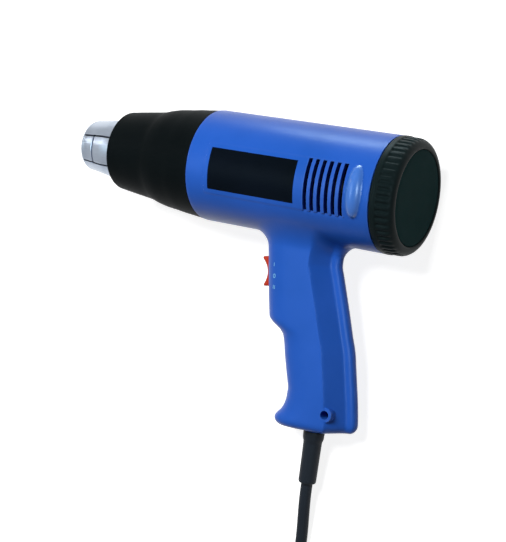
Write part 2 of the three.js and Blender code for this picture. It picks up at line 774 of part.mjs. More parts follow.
function addMotor() {
  const canFront = guideEnd + gap + canSetback;
  const canEnd = canFront + canLength;
  const bore = shaftRadius + runningGap;
  const fixed = shaftRadius + fixedBoreGap;
  const canInner = canRadius - canWall;
  const bearingBore = bearingOuter + gap;
  add(tool, "motor_can", turned([
    [canFront, bearingBore], [canFront + canWall, bearingBore], [canFront + canWall, canInner],
    [canEnd, canInner], [canEnd, canRadius], [canFront, canRadius],
  ], innerSides), "steel");
  const armatureX = canFront + armatureInset;
  const armatureEnd = canEnd - brushLength - armatureBrushGap;
  for (const [name, side] of [["magnet_left", -1], ["magnet_right", 1]]) {
    add(tool, name, barrelPatch(canFront + magnetInset, armatureEnd + 2, canInner - gap - magnetThickness,
      canInner - gap, magnetAngle, side, 10), "magnet");
  }
  const poles = toothed(armaturePoles, armatureRadius * 0.55, armatureRadius, 0.82, 3);
  const hole = new THREE.Path();
  hole.absarc(0, 0, fixed, 0, 2 * Math.PI, true);
  poles.holes.push(hole);
  add(tool, "armature", extrudedAlongX(poles, armatureX, armatureEnd), "steel");
  const commutatorX = armatureEnd + gap;
  const commutatorEnd = commutatorX + commutatorLength;
  add(tool, "commutator", ring(commutatorX, commutatorEnd, fixed, commutatorRadius, smallSides), "copper");
  const capFace = canEnd + gap;
  const [brushX, brushEnd] = [capFace - gap - brushLength, capFace - gap];
  for (const [name, side] of [["brush_left", -1], ["brush_right", 1]]) {
    const [near, far] = [commutatorRadius + gap, canInner - brushEndGap];
    const [y0, y1] = side < 0 ? [-far, -near] : [near, far];
    add(tool, name, block(brushX, brushEnd, y0, y1, -brushHalfHeight, brushHalfHeight), "brass");
  }
  const hubEnd = capFace + endCapThickness + endHubLength;
  const hubOuter = bearingBore + endHubWall;
  add(tool, "motor_end_cap", turned([
    [capFace, bearingBore], [hubEnd, bearingBore], [hubEnd, hubOuter],
    [capFace + endCapThickness, hubOuter], [capFace + endCapThickness, canRadius], [capFace, canRadius],
  ], innerSides), "black");
  for (const [name, x] of [["front_bearing", canFront - 1], ["rear_bearing", capFace + 1]]) {
    add(tool, name, ring(x, x + bearingLength, bore, bearingOuter, smallSides), "brass");
  }
  add(tool, "motor_shaft", rod(fanFront - 1, hubEnd - 1, shaftRadius), "steel");
  const boardX = capFace + endCapThickness + gap;
  const boardEnd = boardX + boardThickness;
  add(tool, "rectifier_board", ring(boardX, boardEnd, hubOuter + gap, boardRadius, innerSides), "board");
  [[-1, 1], [1, 1], [1, -1], [-1, -1]].forEach(([sy, sz], i) => {
    const diode = new THREE.CylinderGeometry(diodeRadius, diodeRadius, diodeLength, 8)
      .translate(boardEnd + gap + diodeRadius, sy * diodeSpread, sz * diodeOffset);
    add(tool, `diode_${i + 1}`, diode, "black");
  });
}

function rocker() {
  const shape = new THREE.Shape();
  const top = rockerHalfHeight;
  shape.moveTo(rockerDepth, -top + 1.5);
  shape.lineTo(0, -top);
  shape.lineTo(-rockerRise + 0.9, -top);
  shape.quadraticCurveTo(-rockerRise - 0.3, -top, -rockerRise, -top + 1.6);
  for (let i = 1; i < 8; i++) {
    const share = -1 + i / 4;
    const z = share * (top - 1.6);
    shape.lineTo(-rockerRise + rockerDish * (1 - share * share), z);
  }
  shape.lineTo(-rockerRise, top - 1.6);
  shape.quadraticCurveTo(-rockerRise - 0.3, top, -rockerRise + 0.9, top);
  shape.lineTo(0, top);
  shape.lineTo(rockerDepth, top - 1.5);
  shape.closePath();
  const settings = { depth: 2 * rockerHalfWidth, bevelEnabled: false, curveSegments: 3 };
  const skirt = new THREE.ExtrudeGeometry(shape, settings)
    .rotateX(Math.PI / 2)
    .translate(0, rockerHalfWidth, 0);
  const heel = barY(rockerPivot, 0, -rockerHalfWidth + 0.8, rockerHalfWidth - 0.8, 3.6, 16);
  return toGeometry(join(skirt, heel));
}

function switchBody() {
  const end = switchBodyFront + switchBodyDepth;
  const pocket = rockerHalfWidth + 0.4;
  return toGeometry(cut(
    join(block(switchBodyFront, end, -switchBodyHalfWidth, switchBodyHalfWidth,
      -switchBodyHalfHeight, switchBodyHalfHeight)),
    block(switchBodyFront - 1, rockerPivot + 5, -pocket, pocket, -openingHalfHeight, openingHalfHeight)));
}

function strainRelief() {
  const bottom = handleReach + exitBossDrop;
  const bore = cordRadius + gap;
  const inside = handleReach - handleWall - 1;
  const collarEnd = bottom + reliefCollarLength;
  const top = inside - reliefFlangeLength;
  const profile = [
    [top, bore], [reliefEnd, bore], [reliefEnd, reliefRadius - 0.6], [reliefEnd - 0.8, reliefRadius],
    [collarEnd + 2.5, reliefRadius + 0.1], [collarEnd, reliefRadius + 0.35],
    [bottom + 2.2, reliefCollar - 0.25], [bottom + gap + 0.2, reliefCollar],
    [bottom + gap + 0.2, reliefNeck], [inside, reliefNeck], [inside, reliefFlange], [top, reliefFlange],
  ];
  return turned(profile, smallSides).rotateY(Math.PI / 2).translate(cordX, 0, 0);
}

// Build the tool in its own axes.
shellHalf("left_shell", -1);
shellHalf("right_shell", 1);
add(tool, "front_sleeve", frontSleeve(), "black");
add(tool, "rear_cap", rearCap(), "black");
const rearFace = barrelLength + gap + capLength;
add(tool, "rear_disc", rod(rearFace - discRecess - discThickness, rearFace - discRecess,
  capRadius - capEdge - capRim - gap, roundSides), "grey");
const labelInner = barrelRadius - labelSink + gap;
add(tool, "label_plate", barrelPatch(labelStart, labelStart + labelLength, labelInner,
  labelInner + labelThickness, labelAngle, -1), "black");
add(tool, "nozzle", nozzle(), "steel");
add(tool, "mica_tube", ring(coreFront - micaOverhang, tubeFlangeX + micaOverhang, micaOuter - micaWall,
  micaOuter, innerSides), "mica");
add(tool, "heater_core", heaterCore(), "mica");
add(tool, "heater_coil", heaterCoil(), "steel");
const cutoutX = coreFront + coreLength + gap;
add(tool, "thermal_cutout", block(cutoutX, cutoutX + cutoutLength, -cutoutHalfWidth, cutoutHalfWidth,
  -cutoutHalfHeight, cutoutHalfHeight), "resin");
add(tool, "air_guide", airGuide(), "resin");
nozzleScrewPlaces().forEach(([y, z], i) => {
  const fixing = crossSlotScrew(nozzleScrewReach).translate(tubeFlangeX - gap, y, z);
  add(tool, `nozzle_screw_${i + 1}`, fixing, "steel");
});
add(tool, "fan_impeller", fan(), "black");
add(tool, "motor_mount", motorMount(), "resin");
addMotor();
add(switchGroup, "switch_body", switchBody(), "black");
add(switchGroup, "switch_rocker", rocker(), "red");
const terminalX = switchBodyFront + switchBodyDepth + gap;
[-1, 0, 1].forEach((place, i) => {
  const z = place * terminalSpacing;
  const blade = block(terminalX, terminalX + terminalLength, -terminalHalfWidth, terminalHalfWidth,
    z - terminalHalfThickness, z + terminalHalfThickness);
  add(switchGroup, `switch_terminal_${i + 1}`, blade, "brass");
});
add(tool, "strain_relief", strainRelief(), "black");
const cordTop = clampZ + clampHalfHeight + cordPastClamp;
add(tool, "cord_inner", barZ(cordX, 0, -reliefEnd - 1, cordTop, cordRadius), "black");
const clampY = -cordRadius - gap;
const clampFace = clampY - clampThickness;
const clampHoles = [-1, 1].map((s) =>
  barY(cordX + s * clampScrewOffset, clampZ, clampFace - 1, clampY + 1, screwHole));
add(tool, "cord_clamp", toGeometry(cut(
  join(block(cordX - clampHalfSpan, cordX + clampHalfSpan, clampFace, clampY,
    clampZ - clampHalfHeight, clampZ + clampHalfHeight)),
  ...clampHoles,
)), "black");
[-1, 1].forEach((s, i) => {
  add(tool, `clamp_screw_${i + 1}`, crossSlotScrew(longScrewReach).rotateZ(Math.PI / 2)
    .translate(cordX + s * clampScrewOffset, clampFace - gap, clampZ), "steel");
});
add(tool, "handle_screw", crossSlotScrew(longScrewReach).rotateZ(Math.PI / 2)
  .translate(handleScrewX, -handleScrewSeat - gap, handleScrewZ), "steel");

// Wires in the handle and the housing
const wirePaths = {
  wire_live: [[97.2, -1.6, cordTop + wireRise], [95, -2, -118], [86, -3, -96], [81, -3, -80], [79.4, -2.4, -67.4]],
  wire_neutral: [[98.8, 1.6, cordTop + wireRise], [101, 3, -118], [98, 8, -98], [88, 9.4, -70], [84, 5.5, -46],
    [92, 4.5, -30], [108, 4, -26], [121, 3, -20], [125.6, 1.5, -12.6]],
};
for (const [name, points] of Object.entries(wirePaths)) {
  add(tool, name, tube(points, wireRadius, 6, points.length * 3), "wire");
}

// The free cord, drawn where it lies
function layCord() {
  const exit = tool.localToWorld(new THREE.Vector3(cordX, 0, -reliefEnd - 1 - gap));
  const along = new THREE.Vector3(0, 0, -1).transformDirection(tool.matrixWorld);
  const rest = cordRadius + surfaceGap;
  const centre = new THREE.Vector2(exit.x - coilOuterRadius, exit.y - coilCentreBelowExit);
  const lead = [
    exit.toArray(),
    exit.clone().addScaledVector(along, 8).toArray(),
    [exit.x + 0.3, exit.y - 18, exit.z - 2.9],
    [exit.x + 0.8, exit.y - 30, exit.z - 5.4],
    [exit.x + 1, exit.y - 42, rest + 0.6],
    [exit.x + 0.9, exit.y - 55, rest],
    [exit.x + 0.5, exit.y - 75, rest],
    [exit.x + 0.1, exit.y - 100, rest],
    [exit.x, centre.y + 2 * cordRadius + gap, rest],
  ];
  add(root, "cord_lead", tube(lead, cordRadius, 8, 12), "black");
  const leadLength = lengthOf(lead);

  const centreline = [new THREE.Vector3(exit.x, centre.y + 2 * cordRadius, rest)];
  const inner = coilOuterRadius - coilPitch * coilLayerTurns;
  const turns = 2 * coilLayerTurns + coilClimbTurns;
  const steps = Math.round(turns * coilSteps);
  for (let i = 0; i <= steps; i++) {
    const turn = (turns * i) / steps;
    const climb = THREE.MathUtils.clamp(turn - coilLayerTurns, 0, coilClimbTurns);
    const share = climb / coilClimbTurns;
    const rise = coilLayerRise * share * share * (3 - 2 * share);
    let radius = coilOuterRadius - coilPitch * turn;
    if (climb > 0) radius = inner - coilPitch * climb * (1 - share);
    if (climb === coilClimbTurns) radius = inner + coilPitch * (turn - coilLayerTurns - coilClimbTurns);
    const angle = -2 * Math.PI * turn;
    centreline.push(new THREE.Vector3(
      centre.x + radius * Math.cos(angle), centre.y + radius * Math.sin(angle), rest + rise));
  }
  const last = centreline.at(-1);
  const away = last.clone().sub(centreline.at(-2)).normalize();
  centreline.push(last.clone().addScaledVector(away, 2 * cordRadius));
  add(root, "cord_coil", wound(centreline, cordRadius, coilSides), "black");
  reportSelfGap(centreline);

  const end = centreline.at(-1);
  const side = away.clone().cross(new THREE.Vector3(0, 0, 1));
  const plugZ = plugHalfThickness + surfaceGap;
  const tail = [
    [gap, 0, end.z], [8, 0, end.z - 0.1], [20, 0.5, end.z - 2.2], [32, 2, rest + 2.4], [42, 4.5, rest],
    [52, 8.5, rest + 1.7], [62, 14, rest + 5.6], [70, 19.5, plugZ - 0.6], [76, 24, plugZ],
  ].map(([on, off, z]) => end.clone().addScaledVector(away, on).addScaledVector(side, off).setZ(z).toArray());
  add(root, "cord_tail", tube(tail, cordRadius, 8, 12), "black");
  const total = leadLength + lengthOf(centreline.map((p) => p.toArray())) + lengthOf(tail);
  console.log(`cord: free length ${total.toFixed(0)} mm, wanted ${cordLength} mm`);

  const plug = new THREE.Group();
  plug.position.fromArray(tail.at(-1));
  const heading = away.clone().multiplyScalar(0.8).addScaledVector(side, 0.6);
  plug.rotation.z = Math.atan2(heading.y, heading.x);
  root.add(plug);
  add(plug, "plug_body", plugBody(), "black");
  const face = plugHeadStart + plugHeadLength + gap;
  [-1, 1].forEach((s, i) => {
    const pin = rod(face, face + pinLength, pinRadius).translate(0, (s * pinSpacing) / 2, 0);
    add(plug, `plug_pin_${i + 1}`, pin, "steel");
  });
}

function lengthOf(points) {
  return new THREE.CatmullRomCurve3(points.map((p) => new THREE.Vector3(...p))).getLength();
}

// A two-pin plug along x: a tapered grip that widens into an oval head.
function plugBody() {
  const stations = [
    [gap, 4.8, 4.8], [14, 5.8, 5.6], [22, 7.5, 7], [plugHeadStart - 6, 14, 10.5],
    [plugHeadStart, plugHalfWidth, plugHalfThickness],
    [plugHeadStart + plugHeadLength - 1.5, plugHalfWidth, plugHalfThickness],
    [plugHeadStart + plugHeadLength, plugHalfWidth - 1.2, plugHalfThickness - 1.2],
  ];
  return loft(stations.map(([x, wide, tall]) => {
    const outline = [];
    for (let k = 0; k < 16; k++) {
      const angle = (2 * Math.PI * k) / 16;
      const square = (v) => Math.sign(v) * Math.abs(v) ** 0.7;
      outline.push(new THREE.Vector3(x, wide * square(Math.cos(angle)), tall * square(Math.sin(angle))));
    }
    return outline;
  }));
}

// A tube with a ring on every point of its centreline.
function wound(centreline, radius, sides) {
  const up = new THREE.Vector3(0, 0, 1);
  return loft(centreline.map((p, i) => {
    const before = centreline[Math.max(i - 1, 0)];
    const after = centreline[Math.min(i + 1, centreline.length - 1)];
    const across = after.clone().sub(before).cross(up).normalize();
    const ringPoints = [];
    for (let k = 0; k < sides; k++) {
      const angle = (2 * Math.PI * (k + 0.5)) / sides;
      ringPoints.push(p.clone().addScaledVector(across, radius * Math.cos(angle))
        .addScaledVector(up, radius * Math.sin(angle)));
    }
    return ringPoints;
  }));
}

// Prints the least gap between two turns of the coil.
function reportSelfGap(centreline) {
  const fine = new THREE.CatmullRomCurve3(centreline).getSpacedPoints(1200);
  const apart = Math.ceil((Math.PI * 2 * cordRadius * 2) / (cordLength / 1200));
  let least = Infinity;
  for (let i = 0; i < fine.length; i++) {
    for (let j = i + apart; j < fine.length; j++) least = Math.min(least, fine[i].distanceTo(fine[j]));
  }
  console.log(`coil: least gap between turns ${(least - 2 * cordRadius).toFixed(2)} mm`);
}

// Lay the tool down on its right side, centred over the surface.
const restDistance = Math.hypot(restHalfWidth, restReach);
const lying = Math.asin(capRadius / restDistance) - Math.atan2(restHalfWidth, restReach);
tool.rotation.x = -(Math.PI / 2 - lying);
tool.updateMatrixWorld(true);
const lain = new THREE.Box3();
tool.traverse((piece) => {
  if (piece.isMesh) lain.union(new THREE.Box3().setFromObject(piece, true));
});
const middle = lain.getCenter(new THREE.Vector3());
tool.position.set(-middle.x, -middle.y, -lain.min.z);
tool.updateMatrixWorld(true);
layCord();

export default root;
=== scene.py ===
import json
import math

import bmesh
import bpy
import numpy as np
from mathutils import Matrix, Vector


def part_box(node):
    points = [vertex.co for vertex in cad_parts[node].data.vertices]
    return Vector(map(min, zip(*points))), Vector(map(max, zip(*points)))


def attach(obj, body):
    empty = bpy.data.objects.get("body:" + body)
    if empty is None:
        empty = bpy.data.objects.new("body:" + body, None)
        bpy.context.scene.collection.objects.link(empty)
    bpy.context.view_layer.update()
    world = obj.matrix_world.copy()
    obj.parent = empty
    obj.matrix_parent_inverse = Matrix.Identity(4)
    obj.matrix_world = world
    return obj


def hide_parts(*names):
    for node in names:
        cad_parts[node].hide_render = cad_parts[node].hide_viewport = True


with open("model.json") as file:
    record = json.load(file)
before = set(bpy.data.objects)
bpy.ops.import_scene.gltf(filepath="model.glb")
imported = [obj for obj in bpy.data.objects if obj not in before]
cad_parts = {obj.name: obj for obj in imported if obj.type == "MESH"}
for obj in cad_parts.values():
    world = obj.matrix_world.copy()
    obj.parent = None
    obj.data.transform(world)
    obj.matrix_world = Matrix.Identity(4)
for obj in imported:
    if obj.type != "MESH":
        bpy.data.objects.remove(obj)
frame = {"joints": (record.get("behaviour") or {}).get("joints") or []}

# A corded hot air tool that lies on its right side. Sizes are millimetres in the tool's own axes: x back
# along the barrel from the housing's front edge, z away from the handle, -y to the tool's left. to_row()
# turns them into the frame's metres.
MM = 0.001
CAP_RADIUS = 36.4
REST_HALF_WIDTH, REST_REACH = 17.0, 150.5
REST_DISTANCE = math.hypot(REST_HALF_WIDTH, REST_REACH)
LYING = math.asin(CAP_RADIUS / REST_DISTANCE) - math.atan2(REST_HALF_WIDTH, REST_REACH)
TURN = LYING - math.pi / 2
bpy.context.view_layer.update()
HOUSING_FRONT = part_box("left_shell")[0][0]
BARREL_AXIS = next(joint["pos_m"] for joint in frame["joints"] if joint["name"] == "motor_spin")
ORIGIN = np.round(np.array([HOUSING_FRONT, *BARREL_AXIS[1:]]) / MM, 3)


def to_row(points):
    """Points of the tool's axes in the frame's metres."""
    p = np.asarray(points, float)
    c, s = math.cos(TURN), math.sin(TURN)
    x, y, z = p[..., 0], p[..., 1], p[..., 2]
    return (np.stack([x, c * y - s * z, s * y + c * z], -1) + ORIGIN) * MM


def from_row(point):
    """A point of the frame, in metres, in the tool's axes."""
    c, s = math.cos(TURN), math.sin(TURN)
    x, y, z = np.asarray(point, float) / MM - ORIGIN
    return np.array([x, c * y + s * z, c * z - s * y])


def row_direction(v):
    return Vector(to_row(v) - to_row((0, 0, 0))).normalized()


def new_object(name, data):
    thing = bpy.data.objects.new(name, data)
    bpy.context.scene.collection.objects.link(thing)
    return thing


# Camera: its place and the ways it faces, in the tool's axes
CAMERA_SENSOR, CAMERA_LENS = 36, 86.35
CAMERA_NEAREST, CAMERA_FARTHEST = 0.01, 20
CAMERA_PLACE = (466.54, -714.18, 44.09)
CAMERA_RIGHT = (0.84111, 0.52478, 0.13093)
CAMERA_UP = (-0.17853, 0.04087, 0.98309)
CAMERA_FORWARD = (-0.51055, 0.85026, -0.12806)


def add_camera():
    data = bpy.data.cameras.new("camera")
    data.sensor_width = CAMERA_SENSOR
    data.lens = CAMERA_LENS
    data.clip_start = CAMERA_NEAREST
    data.clip_end = CAMERA_FARTHEST
    camera = new_object("camera", data)
    right, up, forward = (row_direction(v) for v in (CAMERA_RIGHT, CAMERA_UP, CAMERA_FORWARD))
    turn = Matrix((right, up, -forward)).transposed().to_4x4()
    camera.matrix_world = Matrix.Translation(Vector(to_row(CAMERA_PLACE))) @ turn
    bpy.context.scene.camera = camera


add_camera()

# Mesh helpers
ROUND_STEPS, ROUND_SHARE = 4, 0.45


def make_mesh(name, points, faces, smooth_angle):
    """A mesh object at the origin; its place is in its mesh."""
    mesh = bpy.data.meshes.new(name)
    mesh.from_pydata(to_row(points).tolist(), [], [list(map(int, f)) for f in faces])
    mesh.validate()
    mesh.update()
    mesh.shade_smooth()
    mesh.set_sharp_from_angle(angle=math.radians(smooth_angle))
    return new_object(name, mesh)


def closed_grid(rows, columns):
    """The faces of a grid of points that closes on itself both ways."""
    faces = []
    for i in range(rows):
        for j in range(columns):
            row, next_row, next_j = i * columns, (i + 1) % rows * columns, (j + 1) % columns
            faces.append((row + j, next_row + j, next_row + next_j, row + next_j))
    return faces


def lathe(profile, sides, shape=None):
    """Points and faces of a closed profile of (x, radius) turned about the barrel's axis."""
    profile = np.asarray(profile, float)
    angle = 2 * math.pi * np.arange(sides) / sides
    x = np.repeat(profile[:, :1], sides, 1)
    radius = np.repeat(profile[:, 1:2], sides, 1)
    angle = np.repeat(angle[None, :], len(profile), 0)
    if shape is not None:
        x, radius = shape(x, radius, angle)
    points = np.stack([x, radius * np.cos(angle), radius * np.sin(angle)], -1).reshape(-1, 3)
    return points, closed_grid(len(profile), sides)


def eased(stations, step, ease):
    """Resamples stations of (place, value...) at an even step and softens them over a distance."""
    stations = np.asarray(stations, float)
    stations = stations[np.argsort(stations[:, 0])]
    place = np.arange(stations[0, 0], stations[-1, 0] + step / 2, step)
    reach = int(3 * ease / step)
    kernel = np.exp(-0.5 * (np.arange(-reach, reach + 1) * step / ease) ** 2)
    kernel /= kernel.sum()
    columns = [np.interp(place, stations[:, 0], stations[:, k]) for k in range(1, stations.shape[1])]
    columns = [np.convolve(np.pad(c, reach, mode="edge"), kernel, "valid") for c in columns]
    return (place, *columns)


def rounded(corners, radii):
    """Rounds each corner of a closed profile by its own radius, over less than half of each edge."""
    corners = [np.asarray(c, float) for c in corners]
    out = []
    for i, (corner, radius) in enumerate(zip(corners, radii)):
        if radius <= 0:
            out.append(corner)
            continue
        u, v = corners[i - 1] - corner, corners[(i + 1) % len(corners)] - corner
        u_length, v_length = np.linalg.norm(u), np.linalg.norm(v)
        u, v = u / u_length, v / v_length
        half = math.acos(max(-1, min(1, float(u @ v)))) / 2
        cut = min(radius / math.tan(half), ROUND_SHARE * u_length, ROUND_SHARE * v_length)
        for k in range(ROUND_STEPS + 1):
            t = k / ROUND_STEPS
            a, b = corner + u * cut * (1 - t), corner + v * cut * t
            out.append(a * (1 - t) + b * t)
    return out


def outward(thing):
    """Turns every face of a closed mesh outwards."""
    form = bmesh.new()
    form.from_mesh(thing.data)
    bmesh.ops.recalc_face_normals(form, faces=form.faces)
    form.to_mesh(thing.data)
    form.free()
    return thing


def paint(thing, *materials):
    thing.data.materials.clear()
    for material in materials:
        thing.data.materials.append(material)
    return thing


def add_piece(name, node, slot, shape, *materials, smooth_angle=34):
    """A piece of the tool's body in place of one node; its shape is points and faces."""
    thing = make_mesh(name, *shape, smooth_angle)
    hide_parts(node)
    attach(thing, "tool")
    return paint(thing, *materials)


# Solids from distance fields. A field gives the distance to a surface, less than 0 inside.
SLOPE_REACH = 0.02
SEARCH_STEPS, SETTLE_STEPS = 4, 2
CENTRE_PULL, CELL_SLACK = 0.06, 0.1
SETTLE_MOVE, LEAST_SLOPE_SQUARED = 0.3, 0.25


def slope(field, p):
    """The way a field rises at each point."""
    out = np.empty_like(p)
    for k in range(3):
        shift = np.zeros(3)
        shift[k] = SLOPE_REACH
        out[:, k] = (field(p + shift) - field(p - shift)) / (2 * SLOPE_REACH)
    return out


def sampled(field, axes):
    """The field at the corners of a grid, one layer at a time."""
    values = np.empty([len(axis) for axis in axes])
    yy, zz = np.meshgrid(axes[1], axes[2], indexing="ij")
    for i, x in enumerate(axes[0]):
        layer = np.stack([np.full_like(yy, x), yy, zz], -1).reshape(-1, 3)
        values[i] = field(layer).reshape(yy.shape)
    return values


def crossed_edges(values, axis):
    """The first corners of the grid's edges along an axis that cross the surface, without the outermost."""
    inside = values < 0
    first = [slice(None)] * 3
    second = [slice(None)] * 3
    first[axis], second[axis] = slice(0, -1), slice(1, None)
    index = np.argwhere(inside[tuple(first)] != inside[tuple(second)])
    keep = np.ones(len(index), bool)
    for k in ((axis + 1) % 3, (axis + 2) % 3):
        keep &= (index[:, k] > 0) & (index[:, k] < values.shape[k] - 1)
    return index[keep]


def crossing_points(field, axes, values, index, axis, step):
    """Where each crossed edge meets the surface, and whether its first corner lies outside."""
    near = values[tuple(index.T)]
    after = index.copy()
    after[:, axis] += 1
    far = values[tuple(after.T)]
    share = near / (near - far)
    point = np.stack([axes[k][index[:, k]] for k in range(3)], -1)
    start = point[:, axis].copy()
    low, high = np.zeros(len(index)), np.ones(len(index))
    at_low, at_high = near.copy(), far.copy()
    for _ in range(SEARCH_STEPS):
        point[:, axis] = start + share * step
        value = field(point)
        same = (value < 0) == (near < 0)
        low, at_low = np.where(same, share, low), np.where(same, value, at_low)
        high, at_high = np.where(same, high, share), np.where(same, at_high, value)
        secant = low + (high - low) * at_low / np.where(at_low == at_high, 1, at_low - at_high)
        share = np.clip(0.5 * secant + 0.25 * (low + high), low, high)
    point[:, axis] = start + share * step
    return point, near > 0


def cells_around(index, axis, cell_shape):
    """The numbers of the four cells around each edge, in turning order."""
    b, c = (axis + 1) % 3, (axis + 2) % 3
    cells = []
    for back_b, back_c in ((1, 1), (0, 1), (0, 0), (1, 0)):
        cell = index.copy()
        cell[:, b] -= back_b
        cell[:, c] -= back_c
        cells.append(np.ravel_multi_index(tuple(cell.T), cell_shape))
    return cells


def settled(field, corner, step):
    """Corners moved along the slope onto the surface."""
    for _ in range(SETTLE_STEPS):
        value = field(corner)
        gradient = slope(field, corner)
        length = np.maximum(np.sum(gradient ** 2, 1), LEAST_SLOPE_SQUARED)
        move = -(value / length)[:, None] * gradient
        corner = corner + np.clip(move, -SETTLE_MOVE * step, SETTLE_MOVE * step)
    return corner


def contour(field, low, high, step):
    """Faces the zero level of a field, one corner to a crossed cell, with corners set into creases."""
    axes = [l + step * np.arange(int(math.ceil((h - l) / step)) + 1) for l, h in zip(low, high)]
    values = sampled(field, axes)
    cell_shape = tuple(len(axis) - 1 for axis in axes)
    total = int(np.prod(cell_shape))
    outer_sum, plane_sum = np.zeros((total, 3, 3)), np.zeros((total, 3))
    point_sum, hits = np.zeros((total, 3)), np.zeros(total)
    quads = []
    for axis in range(3):
        index = crossed_edges(values, axis)
        point, outside = crossing_points(field, axes, values, index, axis, step)
        normal = slope(field, point)
        normal /= np.maximum(np.linalg.norm(normal, axis=1, keepdims=True), 1e-9)
        outer = normal[:, :, None] * normal[:, None, :]
        plane = normal * np.sum(normal * point, 1, keepdims=True)
        cells = cells_around(index, axis, cell_shape)
        for cell in cells:
            np.add.at(outer_sum, cell, outer)
            np.add.at(plane_sum, cell, plane)
            np.add.at(point_sum, cell, point)
            np.add.at(hits, cell, 1)
        ring = np.stack(cells, 1)
        ring[outside] = ring[outside][:, ::-1]
        quads.append(ring)
    quads = np.concatenate(quads)
    used, faces = np.unique(quads, return_inverse=True)
    centre = point_sum[used] / hits[used][:, None]
    matrix = outer_sum[used] + CENTRE_PULL * np.eye(3)
    right = plane_sum[used] - np.einsum("nij,nj->ni", outer_sum[used], centre)
    corner = centre + np.linalg.solve(matrix, right[..., None])[..., 0]
    cell = np.stack(np.unravel_index(used, cell_shape), -1)
    base = np.stack([axes[k][cell[:, k]] for k in range(3)], -1)
    corner = np.clip(corner, base - CELL_SLACK * step, base + (1 + CELL_SLACK) * step)
    return settled(field, corner, step), faces.reshape(quads.shape)


def round_union(a, b, radius):
    """Two solids in one, with a fillet between them."""
    fillet = np.hypot(np.maximum(radius - a, 0), np.maximum(radius - b, 0))
    return np.maximum(radius, np.minimum(a, b)) - fillet


def round_both(a, b, radius):
    """What two solids share, with a round edge."""
    edge = np.hypot(np.maximum(a + radius, 0), np.maximum(b + radius, 0))
    return np.minimum(-radius, np.maximum(a, b)) + edge


def box_field(p, low, high, radius):
    low, high = np.asarray(low, float), np.asarray(high, float)
    q = np.abs(p - (low + high) / 2) - (high - low) / 2 + radius
    return np.linalg.norm(np.maximum(q, 0), axis=1) + np.minimum(q.max(1), 0) - radius


def rod_field(p, axis, centre, low, high, radius, edge=0.0):
    """A round bar along an axis of the tool."""
    others = [k for k in range(3) if k != axis]
    away = np.hypot(p[:, others[0]] - centre[0], p[:, others[1]] - centre[1]) - radius
    along = np.abs(p[:, axis] - (low + high) / 2) - (high - low) / 2
    return round_both(away, along, edge) if edge else np.maximum(away, along)


# Barrel and handle
BARREL_RADIUS, BARREL_LENGTH, BARREL_EDGE = 36.25, 130.2, 0.7
HANDLE_HALF_WIDTH, HANDLE_REACH, HANDLE_TOP = 17.0, 153.2, -8
FOOT_TILT, FOOT_ROUND, CORD_X = 0.079, 5.5, 98.0
# height, front edge, back edge
HANDLE = [
    (-12, 45.1, 101.5), (-20, 46.3, 101.5), (-40, 49.6, 101.5), (-45, 50.4, 101), (-50, 51.3, 101.1),
    (-56, 52.2, 103.3), (-76.2, 55.5, 110.2), (-88.6, 57.8, 114.2), (-91.8, 62, 115.2), (-94, 66.4, 116),
    (-97, 69.3, 117.2), (-103, 71.2, 118.9), (-109, 72.4, 120.1), (-122, 75.9, 122.9), (-130, 78.2, 124.6),
    (-137.2, 77.9, 125.9), (-141, 77, 126.5), (-144.5, 75.4, 127), (-146.5, 73.6, 127.1),
    (-148.5, 71.7, 127.2), (-150.2, 71.2, 127.3), (-165, 71.2, 128.5)]
HANDLE_Z, HANDLE_FRONT, HANDLE_BACK = eased(HANDLE, step=0.25, ease=1.0)
NOSE, NOSE_POWER, NOSE_SHIFT, NOSE_STEPS = 26.0, 2.6, 0.35, 12
# rear part of the outline: distance before the back edge, half width
REAR = [
    (16.1, 17.0), (14.75, 16.9), (13.75, 15.9), (5.9, 5.5), (5.0, 4.75), (3.6, 4.45), (2.2, 3.95),
    (1.1, 3.15), (0.35, 1.9), (0, 0)]


def handle_side(p):
    """The distance to the handle's outline at each point's own height."""
    x, ay, z = p[:, 0], np.abs(p[:, 1]), p[:, 2]
    front = np.interp(z, HANDLE_Z, HANDLE_FRONT) - NOSE_SHIFT
    back = np.interp(z, HANDLE_Z, HANDLE_BACK)
    outline = []
    for k in range(NOSE_STEPS + 1):
        turn = k * math.pi / (2 * NOSE_STEPS)
        along, across = (max(v, 0) ** (2 / NOSE_POWER) for v in (math.cos(turn), math.sin(turn)))
        outline.append((front + NOSE * (1 - along), np.full_like(x, HANDLE_HALF_WIDTH * across)))
    outline += [(back - d, np.full_like(x, w)) for d, w in REAR]
    nearest = np.full_like(x, 1e9)
    inside = np.zeros(len(x), bool)
    for (x0, y0), (x1, y1) in zip(outline, outline[1:]):
        dx, dy = x1 - x0, y1 - y0
        t = np.clip(((x - x0) * dx + (ay - y0) * dy) / (dx * dx + dy * dy + 1e-12), 0, 1)
        nearest = np.minimum(nearest, np.hypot(x - x0 - t * dx, ay - y0 - t * dy))
        inside |= (x >= x0) & (x < x1) & (ay < y0 + (x - x0) / np.where(dx == 0, 1, dx) * dy)
    return np.where(inside, -nearest, nearest)


def handle_field(p):
    foot = (-HANDLE_REACH + FOOT_TILT * (p[:, 0] - CORD_X) - p[:, 2]) / math.hypot(1, FOOT_TILT)
    return np.maximum(round_both(handle_side(p), foot, FOOT_ROUND), p[:, 2] - HANDLE_TOP)


def barrel_field(p):
    return rod_field(p, 0, (0, 0), 0, BARREL_LENGTH, BARREL_RADIUS, BARREL_EDGE)


# Raised panel around the label and the slots
PANEL_START, PANEL_END, PANEL_ANGLE = 14.0, 113.15, math.radians(26)
PANEL_RISE, PANEL_SINK, PANEL_EDGE, PANEL_FILLET = 0.45, 1, 0.3, 0.25


